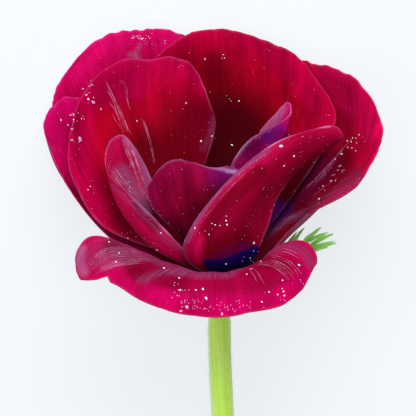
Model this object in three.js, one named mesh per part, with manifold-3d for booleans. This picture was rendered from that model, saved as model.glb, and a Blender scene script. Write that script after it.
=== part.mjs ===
// Anemone flower, picked, lying on the backs of its petals and on the cut end of its stem.
// Millimetres, +Z up. X runs to the flower's right and Y from the stem to the bloom.
// The origin is on the surface, in the middle of the spot that the back left petal rests on.
import * as THREE from "three";
import { mergeVertices } from "three/addons/utils/BufferGeometryUtils.js";
import Module from "manifold-3d";

const wasm = await Module();
wasm.setup();

// Driving dimensions
const flowerCentre = new THREE.Vector3(11, -40, 31); // middle of the receptacle, over the surface
const bloomTilt = THREE.MathUtils.degToRad(14); // how far the bloom's axis rises from level
const petal = { thickness: 0.6, rows: 13, columns: 12 };
const claw = { radius: 4.9, lowest: -2.6, ringStep: 1.1 }; // where the petals grow from
const stem = { radius: 2.8, endRadius: 3.1, sides: 14, rings: 20 };
const boss = { radius: 4.3, bottom: 3.5, top: 9.2, sides: 16, rings: 7, roundness: 0.6 };
const pistil = {
  count: 48, radius: 0.7, height: 1.5, lift: 0.15, sides: 4, coverage: 1.1, roundness: 0.8,
};
const stamen = {
  count: 22, foot: 3.6, reach: 5.2, bottom: 4.4, top: 9.4, filament: 0.35, anther: 0.6, sides: 3,
  bendIn: 0.3, bendWay: 0.45, turnJitter: 0.3, topJitter: 1.6, reachJitter: 0.5,
};
// Up an anther: millimetres in from the stamen's reach and down from its top, and half its width.
const antherStations = [
  [0, 1.5, stamen.filament], [0, 1, stamen.anther], [0.1, 0.4, stamen.anther],
  [0.2, 0, stamen.filament],
];
const leaflet = { thickness: 0.8, jitter: 0.5 };
const rippleStart = 0.4; // share of a petal's length where its ripples start
const mergeDistance = 1e-4;
const goldenTurn = 137.5; // degrees from one pistil to the next, as in a seed head

const axis = new THREE.Vector3(0, Math.cos(bloomTilt), Math.sin(bloomTilt)); // up through the boss
const front = new THREE.Vector3(0, -Math.sin(bloomTilt), Math.cos(bloomTilt));
const right = new THREE.Vector3(1, 0, 0);
const surfaceBelow = -flowerCentre.z; // height of the surface, from the flower's centre

// Petals. Each has five veins, from one side to the other, given by hand-set points from the
// claw to the margin, in millimetres from the flower's centre: right, up the bloom, forward.
// "at" and "spread" place the claw round the axis in degrees from the right through the front,
// "turn" is the way that its veins follow each other round, and "ring" is its ring of claws.
// "corner" rounds the margin, "waves" and "cleft" shape it, and "ruffle" ripples it in and out.
const petals = {
  petal_left: {
    at: 192, spread: 34, turn: 1, ring: 1, corner: 0.35, colour: "#b3004d",
    waves: [0.012, 7, 0.4], cleft: [0.5, 0.02, 0.1], ruffle: [0.4, 8, 1],
    veins: [
      [[-14, 1.5, 0], [-26.5, 8.5, -3], [-36.5, 19.5, -5.5], [-43, 31, -7.5]],
      [[-13, 4, -5], [-28, 13, -8.5], [-40, 25, -11], [-45, 37, -11]],
      [[-12, 5, -10], [-27, 17, -14], [-38, 31, -15], [-43, 43, -14]],
      [[-10, 7, -13], [-24, 20, -19], [-34, 35, -20], [-38, 48, -17]],
      [[-9, 8, -14], [-20, 23, -22], [-28, 38, -23], [-32, 49, -20]],
    ],
  },
  petal_back_left: {
    at: 250, spread: 32, turn: 1, ring: 0, corner: 0.12, colour: "#c80058",
    waves: [0.014, 8, 1.2], cleft: [0.25, 0.012, 0.1], ruffle: [0.5, 9, 0.3],
    veins: [
      [[-12, 5, -13], [-28, 17, -20], [-39, 31, -20], [-44, 44, -17]],
      [[-10, 7, -17], [-23, 23, -26], [-36, 38.5, -26], [-42.6, 47.9, -20]],
      [[-7, 8, -19], [-16, 26, -29], [-24, 45, -30], [-28, 63, -24]],
      [[-3, 8, -19], [-8, 27, -31], [-12, 47, -32], [-14, 63, -26]],
      [[2, 8, -18], [3, 26, -30], [2, 47, -31], [-1, 66, -27]],
    ],
  },
  petal_right: {
    at: -22, spread: 34, turn: 1, ring: 0, corner: 0.2, colour: "#b8003c",
    waves: [0.01, 6, 2.0], cleft: [0.3, 0.01, 0.1], ruffle: [0.4, 8, 0.5],
    veins: [
      [[6, 8, -17], [14, 26, -29], [17, 44, -32], [16, 62, -27]],
      [[10, 7, -14], [22, 24, -23], [26, 42, -25], [24, 55, -20]],
      [[12, 6, -8], [27, 20, -13], [35, 36, -14], [35, 49.5, -11]],
      [[12.5, 5, -1], [23.5, 17, -3], [35, 28.5, -3], [40.5, 38.5, -2]],
      [[10.5, 4, 4], [20, 14, 6], [31.5, 20.5, 7], [40, 27.5, 7]],
    ],
  },
  petal_front: {
    at: 98, spread: 38, turn: -1, ring: 0, corner: 0.15, colour: "#d40050",
    waves: [0.01, 9, 0.0], cleft: [-0.42, 0.065, 0.12], ruffle: [0.4, 7, 1.5],
    veins: [
      [[-11, 1, 7], [-23, 9, 10], [-34, 8.5, 12], [-37, -0.5, 15]],
      [[-7, -1, 10], [-15, 4, 14.5], [-24, 3, 20], [-31, -2.8, 22.4]],
      [[-2, -2, 10], [-3, 1, 16], [-4, -3, 22], [-4, -9.5, 24]],
      [[4, -1, 9], [8, 3, 14], [13, 0, 19], [15, -7, 21]],
      [[8, 1, 7], [15, 8, 9], [22, 8, 12], [25.5, -1, 15]],
    ],
  },
  petal_back: {
    at: 282, spread: 34, turn: 1, ring: 1, corner: 0.18, colour: "#a80022",
    waves: [0.01, 8, 0.9], cleft: [0.35, 0.012, 0.12], ruffle: [0.4, 7, 2.2],
    veins: [
      [[-6, 9, -12], [-15, 25, -20], [-22, 41, -23], [-22, 56, -20]],
      [[-3, 9, -15], [-8, 27, -24], [-12, 45, -26], [-12, 61, -22]],
      [[1, 9, -16], [3, 27, -26], [4, 46, -28], [3, 63, -24]],
      [[5, 9, -14], [12, 25, -23], [17, 42, -25], [18, 58, -21]],
      [[9, 8, -11], [19, 21, -18], [28, 35, -20], [32, 50, -17]],
    ],
  },
  petal_left_inner: {
    at: 212, spread: 34, turn: 1, ring: 2, corner: 0.22, colour: "#b00028",
    waves: [0.01, 7, 0.2], cleft: [0.2, 0.012, 0.12], ruffle: [0.3, 7, 0.4],
    veins: [
      [[-12, 5, 0], [-29, 12, 0.5], [-36.8, 23.5, -2], [-41, 37, -7]],
      [[-11, 8, -6], [-25, 21, -11], [-34.5, 35, -13], [-35, 47, -12]],
      [[-8, 9, -9], [-17, 25, -15], [-23, 41, -17], [-24, 55, -14]],
      [[-4, 9, -9], [-9, 25, -15], [-11, 41, -16], [-9, 56, -13]],
      [[-1, 9, -8], [-5, 22, -12], [-1.6, 36, -12], [0, 47, -8]],
    ],
  },
  petal_right_front: {
    at: 62, spread: 36, turn: -1, ring: 2, corner: 0.25, colour: "#c40030",
    waves: [0.008, 7, 1.0], cleft: [0.4, 0.0, 0.1], ruffle: [0.25, 6, 0.0],
    veins: [
      [[-9, 5, 10], [-7, 13, 14], [2, 24, 13], [13, 33, 10], [24, 38, 7]],
      [[-5, 4, 12], [-2, 13, 16], [6, 23, 15], [16, 32, 12], [27, 38, 7]],
      [[0, 4, 12], [4, 13, 15], [10, 22, 14], [19, 31, 11], [30, 36.5, 6]],
      [[4, 4, 11], [7, 12, 13], [12, 21, 12], [21, 29, 8.5], [31, 34.5, 4]],
      [[8, 4, 8], [11.5, 12.5, 10], [14.2, 20, 9], [21, 28, 5], [31, 31.5, 2]],
    ],
  },
  petal_left_narrow: {
    at: 168, spread: 28, turn: -1, ring: 3, corner: 0.3, colour: "#cc1240",
    waves: [0.01, 6, 0.5], cleft: [0.3, 0.02, 0.12], ruffle: [0.2, 7, 0.0],
    veins: [
      [[-9.5, 7, 8], [-16, 14, 9], [-23, 21, 7], [-30, 30, 3]],
      [[-10, 3.5, 7], [-18, 8, 6.5], [-26, 18, 4], [-29.5, 30, 0]],
      [[-10, 5, 3], [-18, 12, 2], [-24, 23, 0], [-27.5, 34.5, -2]],
      [[-9.5, 8, 0.5], [-16, 16, -1], [-22, 26, -3], [-25, 37, -3]],
      [[-8, 8.5, -1], [-14.5, 18, -2], [-19, 28, -3], [-21, 36, -3]],
    ],
  },
  petal_centre: {
    at: 100, spread: 33, turn: -1, ring: 4, corner: 0.15, colour: "#8c0048",
    waves: [0.015, 9, 0.7], cleft: [0.2, 0.02, 0.15], ruffle: [0.2, 9, 0.0],
    veins: [
      [[-8.5, 8.5, 4.5], [-17, 17, 3], [-19, 24, 1]],
      [[-6, 7, 9], [-11, 19, 8], [-14, 29, 5]],
      [[-2, 7, 10.5], [-3, 19, 11], [-5, 28, 7]],
      [[3, 7, 9.5], [4, 18, 9], [4, 27, 5]],
      [[6, 8, 6], [9, 17, 5], [12, 25, 2]],
    ],
  },
  petal_right_curled: {
    at: 330, spread: 36, turn: 1, ring: 4, corner: 0.2, colour: "#7a0068",
    waves: [0.01, 6, 0.0], cleft: [0.1, 0.03, 0.2], ruffle: [0.2, 6, 1.0],
    veins: [
      [[3, 12, -8], [6, 25, -11], [9.3, 35, -12], [14.2, 43, -10]],
      [[5, 12, -9], [10, 24, -12], [13, 34, -12], [16, 44, -9]],
      [[7, 12, -5], [13, 22, -8], [16, 32, -9], [18, 43, -8]],
      [[7, 12, -3], [10, 22, -4.5], [14, 31, -5], [18, 42, -6]],
      [[5.5, 12, -1.5], [2, 24.5, -3.5], [6, 33, -4], [16, 40, -6]],
    ],
  },
};

// The stem's centre line below the receptacle, in millimetres from the flower's centre.
const stemLine = [
  [-0.4, -10, -2.5], [-0.3, -20, -5], [0.4, -35, -9], [2, -60, -15.5],
  [3.5, -84, -21.5], [4, -105, -26.3], [4, -125, -28.2],
];
// Height on the axis and radius of each ring of the receptacle and of the neck below it.
const receptacleRings = [[3.2, 3.7], [2.7, 4.1], [-3.2, 4.1], [-4.6, 3.8], [-6.2, 3.2], [-8.2, 2.9]];

// The leaves of the collar: a rib from the stem out, which way the blade's upper side faces, and
// how far the leaflets spread on each side of the rib.
const bracts = {
  bract_right: {
    rib: [[3.8, -7, -1.6], [10, -3.5, 0.8], [17, 3, 3.2], [22.5, 7, 4], [28.5, 8.8, 4]],
    facing: [-0.3, 0.4, 0.85], spread: [1, 0.25], seed: 5,
  },
  bract_left: {
    rib: [[-3.7, -6.8, -3], [-9, -5, -8], [-17, 0, -12], [-24, 4, -14], [-29, 7, -16]],
    facing: [0.35, 0.75, 0.5], spread: [1, 1], seed: 8,
  },
  bract_back: {
    rib: [[0, -7.2, -5.9], [2, -8, -12], [5, -4, -19], [8, 1, -24], [10, 6, -27]],
    facing: [0, 0.8, 0.6], spread: [1, 1], seed: 13,
  },
};
// One side of a leaf: each leaflet runs from a point on the blade to its tip, along and across
// the rib, in millimetres, and has its width.
const ribLeaflet = [[0, 0], [31, 0], 1.8];
const sideLeaflets = [
  [[10, 0], [19.5, 4.2], 1.6], [[14.5, 0.6], [24.5, 5.8], 1.8], [[17, 2.2], [23, 5.6], 1.2],
  [[19, 0], [28.5, 4.6], 1.7], [[23, 2.2], [29, 2.6], 1.1], [[23, 0], [30.5, 2], 1.2],
];

function seededRandom(seed) {
  let state = seed;
  return () => {
    state = (state + 0x6d2b79f5) | 0;
    let mixed = Math.imul(state ^ (state >>> 15), 1 | state);
    mixed = (mixed + Math.imul(mixed ^ (mixed >>> 7), 61 | mixed)) ^ mixed;
    return ((mixed ^ (mixed >>> 14)) >>> 0) / 4294967296;
  };
}

// A point round the bloom's axis: degrees from the right through the front, radius and height.
function roundAxis(degrees, radius, height) {
  const angle = THREE.MathUtils.degToRad(degrees);
  return new THREE.Vector3()
    .addScaledVector(right, radius * Math.cos(angle))
    .addScaledVector(front, radius * Math.sin(angle))
    .addScaledVector(axis, height);
}

function smoothCurve(points) {
  return new THREE.CatmullRomCurve3(points, false, "catmullrom");
}

function vectorsOf(points) {
  return points.map((point) => new THREE.Vector3(...point));
}

function geometryOf(points, triangles) {
  const geometry = new THREE.BufferGeometry().setFromPoints(points);
  geometry.setIndex(triangles);
  return geometry;
}

// A closed solid through rings of points, each going the same way round as the first.
function loft(rings) {
  const sides = rings[0].length;
  const triangles = [];
  for (let ring = 0; ring + 1 < rings.length; ring++) {
    for (let side = 0; side < sides; side++) {
      const next = (side + 1) % sides;
      const [a, b] = [ring * sides + side, ring * sides + next];
      triangles.push(a, b, b + sides, a, b + sides, a + sides);
    }
  }
  const last = (rings.length - 1) * sides;
  for (let side = 1; side + 1 < sides; side++) {
    triangles.push(0, side + 1, side, last, last + side, last + side + 1);
  }
  return geometryOf(rings.flat(), triangles);
}

// A ring of points round a centre, anticlockwise when "across" turns into "over".
function ringOf(centre, across, over, halfWidth, halfHeight, sides) {
  return Array.from({ length: sides }, (_, side) => {
    const angle = (2 * Math.PI * side) / sides;
    return centre
      .clone()
      .addScaledVector(across, halfWidth * Math.cos(angle))
      .addScaledVector(over, halfHeight * Math.sin(angle));
  });
}

function solidOf(geometry) {
  const bare = geometry.clone();
  bare.deleteAttribute("normal");
  bare.deleteAttribute("uv");
  const merged = mergeVertices(bare, mergeDistance);
  return new wasm.Manifold(
    new wasm.Mesh({
      numProp: 3,
      vertProperties: new Float32Array(merged.attributes.position.array),
      triVerts: new Uint32Array(merged.index.array),
    }),
  );
}

function fuse(geometries) {
  const [first, ...others] = geometries.map(solidOf);
  const { vertProperties, triVerts } = others.reduce((sum, solid) => sum.add(solid), first).getMesh();
  const geometry = new THREE.BufferGeometry();
  geometry.setAttribute("position", new THREE.Float32BufferAttribute(vertProperties, 3));
  geometry.setIndex([...triVerts]);
  return geometry;
}

// Where the points of a petal's middle face lie, row by row from the claw to the margin.
function petalRows({ at, spread, turn, ring, corner, waves, cleft, veins }) {
  const veinCurves = veins.map((vein, index) => {
    const side = (2 * index) / (veins.length - 1) - 1;
    const foot = roundAxis(at + turn * spread * side, claw.radius, claw.lowest + ring * claw.ringStep);
    return smoothCurve([foot, ...vectorsOf(vein)]);
  });
  const [waveDepth, waveCount, waveStart] = waves;
  const [cleftSide, cleftDepth, cleftWidth] = cleft;
  const rows = [];
  for (let row = 0; row <= petal.rows; row++) {
    rows.push([]);
    for (let column = 0; column <= petal.columns; column++) {
      const angle = Math.PI * (column / petal.columns - 0.5);
      const side = Math.sin(angle);
      const reach =
        1 -
        corner * (1 - Math.cos(angle)) -
        waveDepth * Math.sin(waveCount * side + waveStart) -
        cleftDepth * Math.exp(-(((side - cleftSide) / cleftWidth) ** 2));
      const up = THREE.MathUtils.clamp((row / petal.rows) * reach, 0, 1);
      const across = smoothCurve(veinCurves.map((curve) => curve.getPoint(up)));
      rows[row].push({ side, up, point: across.getPoint((side + 1) / 2) });
    }
  }
  return rows;
}

// Unit normals of a grid of points, towards the side that its rows turn up to.
function gridNormals(rows) {
  const pointAt = (row, column) => {
    const near = rows[THREE.MathUtils.clamp(row, 0, rows.length - 1)];
    return near[THREE.MathUtils.clamp(column, 0, near.length - 1)].point;
  };
  return rows.map((cells, row) =>
    cells.map((_, column) => {
      const along = pointAt(row + 1, column).clone().sub(pointAt(row - 1, column));
      const sideways = pointAt(row, column + 1).clone().sub(pointAt(row, column - 1));
      return sideways.cross(along).normalize();
    }),
  );
}

function petalGeometry(shape) {
  const rows = petalRows(shape);
  const [rippleDepth, rippleCount, ripplePhase] = shape.ruffle;
  const smoothNormals = gridNormals(rows);
  rows.forEach((cells, row) =>
    cells.forEach(({ side, up, point }, column) => {
      const nearMargin = Math.max(0, (up - rippleStart) / (1 - rippleStart)) ** 2;
      const ripple = rippleDepth * nearMargin * Math.sin(rippleCount * side + ripplePhase);
      point.addScaledVector(smoothNormals[row][column], ripple);
      point.z = Math.max(point.z, surfaceBelow + petal.thickness / 2);
    }),
  );
  const normals = gridNormals(rows);
  const faces = [1, -1].map((way) =>
    rows.flatMap((cells, row) =>
      cells.map(({ point }, column) => {
        const moved = point.clone().addScaledVector(normals[row][column], (way * petal.thickness) / 2);
        moved.z = Math.max(moved.z, surfaceBelow);
        return moved;
      }),
    ),
  );
  const wide = petal.columns + 1;
  const back = faces[0].length;
  const triangles = [];
  for (let row = 0; row < petal.rows; row++) {
    for (let column = 0; column < petal.columns; column++) {
      const [a, b] = [row * wide + column, row * wide + column + 1];
      const [c, d] = [b + wide, a + wide];
      triangles.push(a, b, c, a, c, d, back + a, back + c, back + b, back + a, back + d, back + c);
    }
  }
  const rim = [];
  for (let column = 0; column < petal.columns; column++) rim.push(column);
  for (let row = 0; row < petal.rows; row++) rim.push(row * wide + petal.columns);
  for (let column = petal.columns; column > 0; column--) rim.push(petal.rows * wide + column);
  for (let row = petal.rows; row > 0; row--) rim.push(row * wide);
  rim.forEach((a, index) => {
    const b = rim[(index + 1) % rim.length];
    triangles.push(a, back + a, back + b, a, back + b, b);
  });
  return geometryOf(faces.flat(), triangles);
}

// The stem, with the receptacle that it swells into, cut square at its end.
function stemGeometry() {
  const top = receptacleRings.map(([height, radius]) =>
    ringOf(roundAxis(0, 0, height), right, front, radius, radius, stem.sides),
  );
  const line = smoothCurve(vectorsOf(stemLine));
  const below = [];
  for (let ring = 0; ring <= stem.rings; ring++) {
    const way = ring / stem.rings;
    const back = line.getTangent(way).negate();
    const over = new THREE.Vector3().crossVectors(right, back).normalize();
    const across = new THREE.Vector3().crossVectors(back, over);
    const radius = THREE.MathUtils.lerp(stem.radius, stem.endRadius, way ** 3);
    below.push(ringOf(line.getPoint(way), across, over, radius, radius, stem.sides));
  }
  const rings = [...top, ...below];
  rings.flat().forEach((point) => {
    point.z = Math.max(point.z, surfaceBelow);
  });
  return loft(rings);
}

// The dark boss: a dome of pistils with the stamens round it.
function bossGeometry() {
  const middle = (boss.bottom + boss.top) / 2;
  const halfHeight = (boss.top - boss.bottom) / 2;
  const outline = [new THREE.Vector2(0, boss.bottom)];
  for (let step = 1; step < boss.rings; step++) {
    const angle = -Math.PI / 2 + (Math.PI * step) / boss.rings;
    const radius = boss.radius * Math.cos(angle) ** boss.roundness;
    outline.push(new THREE.Vector2(radius, middle + halfHeight * Math.sin(angle)));
  }
  outline.push(new THREE.Vector2(0, boss.top));
  const upright = new THREE.Matrix4().makeBasis(right, axis, front);
  const dome = new THREE.LatheGeometry(outline, boss.sides).applyMatrix4(upright);

  const centre = roundAxis(0, 0, middle);
  const pistils = Array.from({ length: pistil.count }, (_, index) => {
    const lean = Math.acos(1 - (pistil.coverage * (index + 0.5)) / pistil.count);
    const turned = goldenTurn * index;
    const out = roundAxis(turned, Math.sin(lean), Math.cos(lean));
    const reach = boss.radius * Math.sin(lean) ** pistil.roundness;
    const foot = roundAxis(turned, reach, halfHeight * Math.cos(lean));
    const cone = new THREE.ConeGeometry(pistil.radius, pistil.height, pistil.sides);
    const place = new THREE.Matrix4().makeRotationFromQuaternion(
      new THREE.Quaternion().setFromUnitVectors(new THREE.Vector3(0, 1, 0), out),
    );
    place.setPosition(centre.clone().add(foot).addScaledVector(out, pistil.lift));
    return cone.applyMatrix4(place);
  });

  const random = seededRandom(21);
  const stamens = Array.from({ length: stamen.count }, (_, index) => {
    const turned = (360 * (index + stamen.turnJitter * random())) / stamen.count;
    const top = stamen.top - stamen.topJitter * random();
    const reach = stamen.reach - stamen.reachJitter * random();
    const lift = top - stamen.bottom;
    // Distance from the axis, height and half width, up the filament and over the anther.
    const stations = [
      [stamen.foot, stamen.bottom, stamen.filament],
      [reach - stamen.bendIn, stamen.bottom + stamen.bendWay * lift, stamen.filament],
      ...antherStations.map(([inward, below, half]) => [reach - inward, top - below, half]),
    ];
    const across = roundAxis(turned + 90, 1, 0);
    const over = roundAxis(turned, 1, 0);
    return loft(
      stations.map(([radius, height, half]) =>
        ringOf(roundAxis(turned, radius, height), across, over, half, half, stamen.sides),
      ),
    );
  });
  return fuse([dome, ...pistils, ...stamens]);
}

// A leaf of the collar: leaflets on one bent blade, fused where they meet.
function bractGeometry({ rib, facing, spread, seed }) {
  const random = seededRandom(seed);
  const line = smoothCurve(vectorsOf(rib));
  const length = line.getLength();
  const frameAt = (along) => {
    const way = THREE.MathUtils.clamp(along / length, 0, 1);
    const tangent = line.getTangentAt(way);
    const normal = new THREE.Vector3(...facing);
    normal.addScaledVector(tangent, -normal.dot(tangent)).normalize();
    const sideways = new THREE.Vector3().crossVectors(normal, tangent);
    return { point: line.getPointAt(way), tangent, normal, sideways };
  };
  // Shares of a leaflet's width and thickness, from its foot to its tip.
  const widths = [0.55, 0.9, 1, 0.8, 0.15];
  const heights = [0.9, 1, 0.9, 0.75, 0.4];
  const leafletGeometry = ([[startAlong, startAcross], [endAlong, endAcross], width]) => {
    const direction = new THREE.Vector2(endAlong - startAlong, endAcross - startAcross).normalize();
    const rings = widths.map((share, index) => {
      const way = index / (widths.length - 1);
      const along = THREE.MathUtils.lerp(startAlong, endAlong, way);
      const acrossAt = THREE.MathUtils.lerp(startAcross, endAcross, way);
      const { point, tangent, normal, sideways } = frameAt(along);
      const centre = point.clone().addScaledVector(sideways, acrossAt);
      const across = sideways
        .clone()
        .multiplyScalar(direction.x)
        .addScaledVector(tangent, -direction.y);
      const halfHeight = (leaflet.thickness * heights[index]) / 2;
      return ringOf(centre, across, normal, (share * width) / 2, halfHeight, 4);
    });
    return loft(rings);
  };
  const shapes = [ribLeaflet];
  for (const way of [spread[0], -spread[1]]) {
    for (const [start, end, width] of sideLeaflets) {
      const tip = [end[0] + leaflet.jitter * (2 * random() - 1), end[1] + leaflet.jitter * random()];
      shapes.push([[start[0], way * start[1]], [tip[0], way * tip[1]], width]);
    }
  }
  return fuse(shapes.map(leafletGeometry));
}

const flower = new THREE.Group();
flower.position.copy(flowerCentre);

function grow(name, geometry, colour, roughness) {
  const material = new THREE.MeshStandardMaterial({ color: colour, roughness, metalness: 0 });
  const mesh = new THREE.Mesh(geometry, material);
  mesh.name = name;
  flower.add(mesh);
}

for (const [name, shape] of Object.entries(petals)) {
  grow(name, petalGeometry(shape), shape.colour, 0.6);
}
for (const [name, shape] of Object.entries(bracts)) {
  grow(name, bractGeometry(shape), "#5c9b2e", 0.7);
}
grow("boss_and_stamens", bossGeometry(), "#14102c", 0.7);
grow("stem", stemGeometry(), "#9cc63c", 0.6);

const group = new THREE.Group();
group.add(flower);

export default group;
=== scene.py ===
import math
import random
import bmesh
import bpy
import numpy as np
from mathutils import Matrix, Vector
from mathutils.bvhtree import BVHTree


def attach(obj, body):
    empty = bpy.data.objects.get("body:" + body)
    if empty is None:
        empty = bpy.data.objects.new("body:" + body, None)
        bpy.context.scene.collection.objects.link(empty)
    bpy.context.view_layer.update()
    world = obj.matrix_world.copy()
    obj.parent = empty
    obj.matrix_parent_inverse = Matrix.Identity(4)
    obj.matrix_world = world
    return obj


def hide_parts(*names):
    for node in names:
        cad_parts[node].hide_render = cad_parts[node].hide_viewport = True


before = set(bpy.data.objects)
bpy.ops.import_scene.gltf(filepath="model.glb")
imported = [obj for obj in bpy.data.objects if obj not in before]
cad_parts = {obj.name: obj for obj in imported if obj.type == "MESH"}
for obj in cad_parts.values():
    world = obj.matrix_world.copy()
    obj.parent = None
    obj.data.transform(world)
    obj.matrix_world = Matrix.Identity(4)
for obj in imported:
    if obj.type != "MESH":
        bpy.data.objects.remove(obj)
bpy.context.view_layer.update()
scene = bpy.context.scene
print("frame loaded")

mm = 0.001  # the tables below are in millimetres, the scene in metres
wholeTurn = 6.28  # in radians, for seeded draws

# Where the flower lies: the middle of its receptacle over the surface, and how far the
# bloom's axis rises from level. right, axis and front are the bloom's own directions.
flower = {"centre": np.array((11.0, -40.0, 31.0)), "tilt": math.radians(14)}
right = np.array((1.0, 0.0, 0.0))
axis = np.array((0.0, math.cos(flower["tilt"]), math.sin(flower["tilt"])))
front = np.array((0.0, -math.sin(flower["tilt"]), math.cos(flower["tilt"])))

# The picture: 4 pixels to the millimetre at the receptacle, seen from straight above.
view = {
    "pixels": 416, "pixelsPerMm": 4.0, "distance": 900.0, "centre": (7.75, -23.0), "sensor": 36.0,
    "clipEnd": 10.0,
}


def addCamera():
    data = bpy.data.cameras.new("camera")
    data.sensor_width = view["sensor"]
    data.lens = view["sensor"] * view["distance"] * view["pixelsPerMm"] / view["pixels"]
    data.clip_end = view["clipEnd"]
    camera = bpy.data.objects.new("camera", data)
    camera.location = eyePoint()
    scene.collection.objects.link(camera)
    scene.camera = camera


def eyePoint():
    x, y = view["centre"]
    return Vector((x, y, flower["centre"][2] + view["distance"])) * mm


# The direction from the camera to a pixel of the picture.
def towardsPixel(x, y):
    half = view["pixels"] / 2
    scale = view["pixelsPerMm"]
    return Vector(((x - half) / scale, (half - y) / scale, -view["distance"])).normalized()


# Where points, in millimetres from the flower's centre, show in the picture.
def pixelsOf(points):
    places = points + flower["centre"]
    depth = view["distance"] + flower["centre"][2] - places[..., 2]
    scale = view["pixelsPerMm"] * view["distance"] / depth
    x = view["pixels"] / 2 + (places[..., 0] - view["centre"][0]) * scale
    y = view["pixels"] / 2 - (places[..., 1] - view["centre"][1]) * scale
    return x, y


addCamera()


def linear(hexColour):
    parts = [int(hexColour[i:i + 2], 16) / 255 for i in (1, 3, 5)]
    return [c / 12.92 if c <= 0.04045 else ((c + 0.055) / 1.055) ** 2.4 for c in parts] + [1.0]


# Adds a node, sets it, and fills its inputs: a node or socket is linked, a value is set.
def addNode(tree, kind, inputs=None, **settings):
    node = tree.nodes.new(kind)
    for name, value in settings.items():
        setattr(node, name, value)
    for name, value in (inputs or {}).items():
        if isinstance(value, bpy.types.Node):
            value = next(socket for socket in value.outputs if socket.enabled)
        if isinstance(value, bpy.types.NodeSocket):
            tree.links.new(value, node.inputs[name])
        else:
            node.inputs[name].default_value = value
    return node


def newMaterial(name):
    material = bpy.data.materials.new(name)
    material.use_nodes = True
    material.node_tree.nodes.clear()
    return material


# Inputs of the nodes that mix two colours, and of those that turn one range into another.
mixAmount, mixUnder, mixOver = 0, 6, 7
rangeInputs = ("From Min", "From Max", "To Min", "To Max")


# Ends a material: colours laid over each other, each by its own amount, on a skin with the
# look's roughness and gloss, with a bump where height is given, and with a share of the
# light let through where the look has translucence.
def makeSkin(material, look, colour, layers=(), height=None, more=None):
    tree = material.node_tree
    colour = linear(colour)
    for amount, over in layers:
        inputs = {mixAmount: amount, mixUnder: colour, mixOver: linear(over)}
        colour = addNode(tree, "ShaderNodeMix", inputs, data_type="RGBA")
    inputs = {"Base Color": colour, "Roughness": look["roughness"], "Specular IOR Level": look["gloss"]}
    if height:
        inputs["Normal"] = addNode(tree, "ShaderNodeBump", {
            "Height": height, "Strength": look["bump"], "Distance": look["bumpDepth"] * mm,
        })
    surface = addNode(tree, "ShaderNodeBsdfPrincipled", {**inputs, **(more or {})})
    if "translucence" in look:
        through = addNode(tree, "ShaderNodeBsdfTranslucent", {"Color": colour})
        surface = addNode(tree, "ShaderNodeMixShader", {0: look["translucence"], 1: surface, 2: through})
    addNode(tree, "ShaderNodeOutputMaterial", {"Surface": surface})
    return material


# A mesh of points in metres, with a value at each point for every mask.
def newMesh(name, places, faces, masks=None, smooth=True):
    mesh = bpy.data.meshes.new(name)
    mesh.from_pydata(np.array(places, float).tolist(), [], faces)
    for key, values in (masks or {}).items():
        mesh.attributes.new(key, "FLOAT", "POINT").data.foreach_set("value", values)
    if smooth:
        mesh.shade_smooth()
    return mesh


# Gives each point of a mesh its place on a flat map, from 0 to 1 both ways.
def layOut(mesh, mapName, mapPlaces):
    corners = np.zeros(len(mesh.loops), np.int32)
    mesh.loops.foreach_get("vertex_index", corners)
    mesh.uv_layers.new(name=mapName).data.foreach_set("uv", mapPlaces[corners].ravel())


petalLook = {
    # across and along each mark of the grain in millimetres, and how finely it is broken up;
    # real cells are a tenth as large, and wouldn't show
    "grain": {
        "veins": (0.4, 12.0, 2.0), "streaks": (0.4, 40.0, 1.0), "pleatShade": (1.7, 34.0, 1.5),
        "mottle": (6.0, 12.0, 3.0), "cells": (0.3, 0.6, 2.0),
    },
    # where in its grain each mark starts and is full, and how strong it is there
    "marks": {
        # the dark streaks of the pleats along the veins are painted shade of fine folds
        "veins": (0.38, 0.6, 0.14, 0.0), "streaks": (0.48, 0.6, 0.4, 1.0), "pleatShade": (0.42, 0.62, 0.0, 0.2),
        "mottle": (0.4, 0.65, 0.0, 0.3), "cells": (0.35, 0.6, 0.16, 0.0), "navy": (0.4, 1.1, 0.0, 1.0),
    },
    # lilac is painted sheen on creases over the petal's own pale veining, mauve painted sheen on rolled lips
    # and crests over its mauve tint, and rim a painted highlight along the margin
    "lilac": "#bc80b4", "mauve": "#8c4074", "rim": "#c090c8", "veil": "#a86490", "navy": "#1c0454",
    # violet is the petal's own purple with painted sheen where it glints blue; navy, veil and vein are its
    # own colour
    "violet": "#500a70", "vein": "#24000c", "navyRagged": 0.5,
    "roughness": 0.6, "gloss": 0.015, "sheen": 0.015, "sheenRoughness": 0.35, "translucence": 0.2,
    "bump": 0.25, "bumpDepth": 0.1,
}
# Masks painted on each petal: the petal's own colours, and painted shade, painted light and painted sheen
maskNames = ("dusk", "glow", "violet", "lilac", "mauve", "rim", "navy", "veil")
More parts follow.
